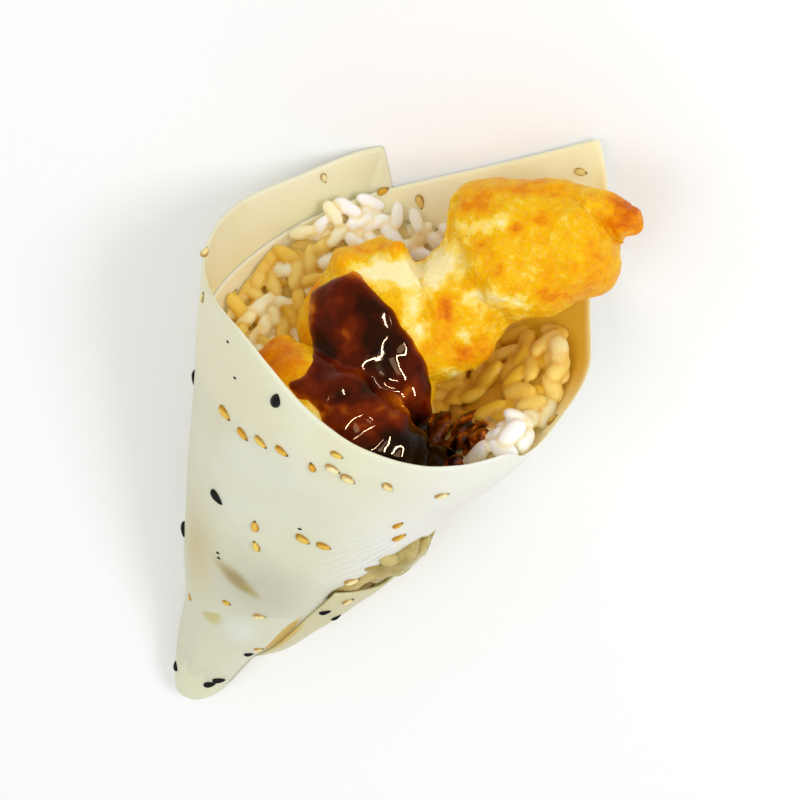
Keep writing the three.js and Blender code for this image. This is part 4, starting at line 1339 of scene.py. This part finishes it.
def grain_shades(placed, gap_count):
    """Tint, share of sauce and share of the gap's painted shade of each grain."""
    draw = np.random.RandomState(41)
    e, b, _, depth = placed.T
    # painted shade: warmer where a grain lies in shade and darker in the lower layer; painted light: whiter
    # towards the front
    tint = 1 - 0.85 * warmth_of_grain(e, b) - 0.3 * draw.rand(len(e)) - 0.12 * depth
    tint += 0.45 * (draw.rand(len(e)) < 0.3) * (e < 0) + 0.2 * smooth(-4, -8, b)
    # past 1 the soak darkens the grains by the pool to near black, as painted shade
    soak = smooth(1.12, 0.85, np.hypot((e - 16) / 6.5, (b + 5) / 8.5)) * (1 + smooth(16, 12.5, e))
    mouth = np.stack([np.clip(tint, 0, 1), soak, 0 * e], 1)
    return np.concatenate([mouth, np.tile((0.3, 0, 1), (gap_count, 1))])


def make_grains(tree, material):
    """Sticky grains, run together where they touch, with their own tints and painted shade."""
    mouth, placed = mouth_grains(tree)
    gap = gap_grains()
    points, polys = egg_mesh()
    parts = [(points @ axes + centre, polys) for centre, axes in mouth + gap]
    mesh = fused("rice_grains", parts, voxel=0.26, rounds=2, keep=0.5)
    set_vertices(mesh, pressed_in(vertices_of(mesh)))
    owner, lead = nearest_grains(mouth + gap, vertices_of(mesh))
    obj = piece("rice_grains", mesh, "rice", material)
    for name, shade in zip(("tint", "soak", "gap"), grain_shades(placed, len(gap)).T):
        paint(obj, name, shade[owner])
    # painted shade in the clefts where two grains meet
    paint(obj, "painted_cleft_shade", smooth(0.9, 0.0, lead))


def rice_material():
    n = Nodes("sushi_rice")
    # the tint carries painted warm shade at its low end and painted light towards the front
    tint = n.add(n.value("tint"), n.mul(n.sub(n.noise(160, 3, 0.5, 8), 0.5), 0.4))
    base = n.ramp(tint, [(0.0, 236, 194, 60), (0.3, 244, 216, 122), (0.6, 253, 242, 200),
                         (0.95, 255, 255, 250)])
    # painted shade darkens the clefts between grains
    base = n.mix(n.mul(n.value("painted_cleft_shade"), 0.6), base, (238, 214, 150), "MULTIPLY")
    # the gap's grains and the body behind them are painted grey-tan, as shade
    gap_painted_shade = n.ramp(n.noise(230, 3, 0.5, 12), [(0.36, 150, 132, 66), (0.64, 190, 174, 114)])
    base = n.mix(n.mul(n.value("gap"), 0.9), base, gap_painted_shade)
    # grains that sauce has soaked, painted nearly black beside the pool as shade
    stain_and_painted_light = n.ramp(n.noise(420, 2, 0.5, 9), [(0.38, 36, 7, 0), (0.55, 132, 54, 0), (0.72, 230, 140, 20)])
    stain_and_painted_light = n.mix(n.level(n.value("soak"), 1.1, 1.9), stain_and_painted_light, (14, 4, 0))
    soak = n.level(n.add(n.value("soak"), n.mul(n.noise(300, 2, 0.5, 2), 0.3)), 0.25, 0.9)
    n.set(Base_Color=n.mix(soak, base, stain_and_painted_light), Roughness=n.level(soak, 0, 1, 0.32, 0.05),
          Specular_IOR_Level=0.3)
    n.soft(0.55, 0.002, 1.0, 0.85, 0.5)
    n.bump(n.noise(600, 2, 0.5, 5), 0.10, 0.0004)
    return n.mat


def make_rice(batters):
    material = rice_material()
    core = make_core(material)
    make_grains(tree_of(*(b[0].data for b in batters)), material)
    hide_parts("rice")


# ---- stage
def make_floor():
    mesh, half = bpy.data.meshes.new("floor"), 1.5
    corners = [(-half, -half, 0), (half, -half, 0), (half, half, 0), (-half, half, 0)]
    mesh.from_pydata(corners, [], [(0, 1, 2, 3)])
    obj = bpy.data.objects.new("floor", mesh)
    bpy.context.scene.collection.objects.link(obj)
    n = Nodes("floor")
    n.set(Base_Color=(243, 243, 243), Roughness=0.7)
    mesh.materials.append(n.mat)


LOOKED_AT = (0, -0.02, 0.03)               # the lamps shine at this place of the shared frame


def add_light(name, where, size, power):
    light = bpy.data.lights.new(name, "AREA")
    light.shape, light.size, light.size_y = "RECTANGLE", *size
    light.energy = power
    obj = bpy.data.objects.new(name, light)
    bpy.context.scene.collection.objects.link(obj)
    obj.location = where
    obj.rotation_euler = (Vector(LOOKED_AT) - Vector(where)).to_track_quat("-Z", "Y").to_euler()
    return obj


MIRRORED_AT = (392, 352)      # pixel where the sauce mirrors the lamp
LAMP = (0.42, 1.10, 0.020, 0.62)   # width, height, thickness of its tubes and its distance, m
TUBE_POWER = 1300             # watts for a square metre of tube


def mirror_direction(sauce):
    """Where the camera looks by way of the sauce's middle, with an evened normal."""
    tree, normals, at = tree_of(sauce.data), Vector((0, 0, 0)), None
    for dx in (-14, -7, 0, 7, 14):
        for dy in (-24, -12, 0, 12, 24):
            hit, normal, _, _ = tree.ray_cast(CAM_WORLD, ray_of(MIRRORED_AT[0] + dx, MIRRORED_AT[1] + dy))
            if hit is not None:
                normals += normal
                at = hit if dx == dy == 0 else at
    ray = ray_of(*MIRRORED_AT)
    normals.normalize()
    return at, ray - normals * 2 * ray.dot(normals)


def make_tubes(sauce):
    """Four tubes in a frame that light the sauce alone: their mirror image is the loop on it."""
    shiny = bpy.data.collections.new("shiny")
    shiny.objects.link(sauce)
    at, out = mirror_direction(sauce)
    wide, high, tube, far = LAMP
    centre = at + out * far
    side = out.cross(Vector((0, -1, 0.3))).normalized()
    up = side.cross(out)
    beside, above = side * wide / 2, up * high / 2
    for name, shift, size in (("left", beside, (tube, high)), ("right", -beside, (tube, high)),
                              ("upper", above, (wide, tube)), ("lower", -above, (wide, tube))):
        lamp = add_light("tube_" + name, centre + shift, size, TUBE_POWER * size[0] * size[1])
        lamp.visible_diffuse = False
        lamp.rotation_euler = Matrix((side, up, out)).transposed().to_euler()
        lamp.light_linking.receiver_collection = shiny


def make_lights(sauce):
    world = bpy.data.worlds.new("world")
    bpy.context.scene.world = world
    world.use_nodes = True
    background = world.node_tree.nodes["Background"]
    background.inputs[0].default_value = (1.0, 1.0, 1.0, 1)
    background.inputs[1].default_value = 0.74
    # the photograph's right is -X, and its top is -Y
    add_light("key", (-0.42, -0.42, 0.66), (0.34, 0.22), 2.4)
    add_light("top", (0.25, 0.15, 0.90), (0.5, 0.5), 1.5)
    make_tubes(sauce)
    bpy.context.scene.view_settings.view_transform = "Standard"


# ---- assembly
def dress():
    """Everything that shows, with the camera, floor and lights."""
    make_camera()
    make_floor()
    outer = outer_paper()
    sheet = make_sheet(outer, inner_paper())
    make_seeds(sheet, make_tip(outer))
    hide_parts("wrapper")
    batters = make_tempura()
    make_lights(make_sauce(batters))
    make_rice(batters)


dress()
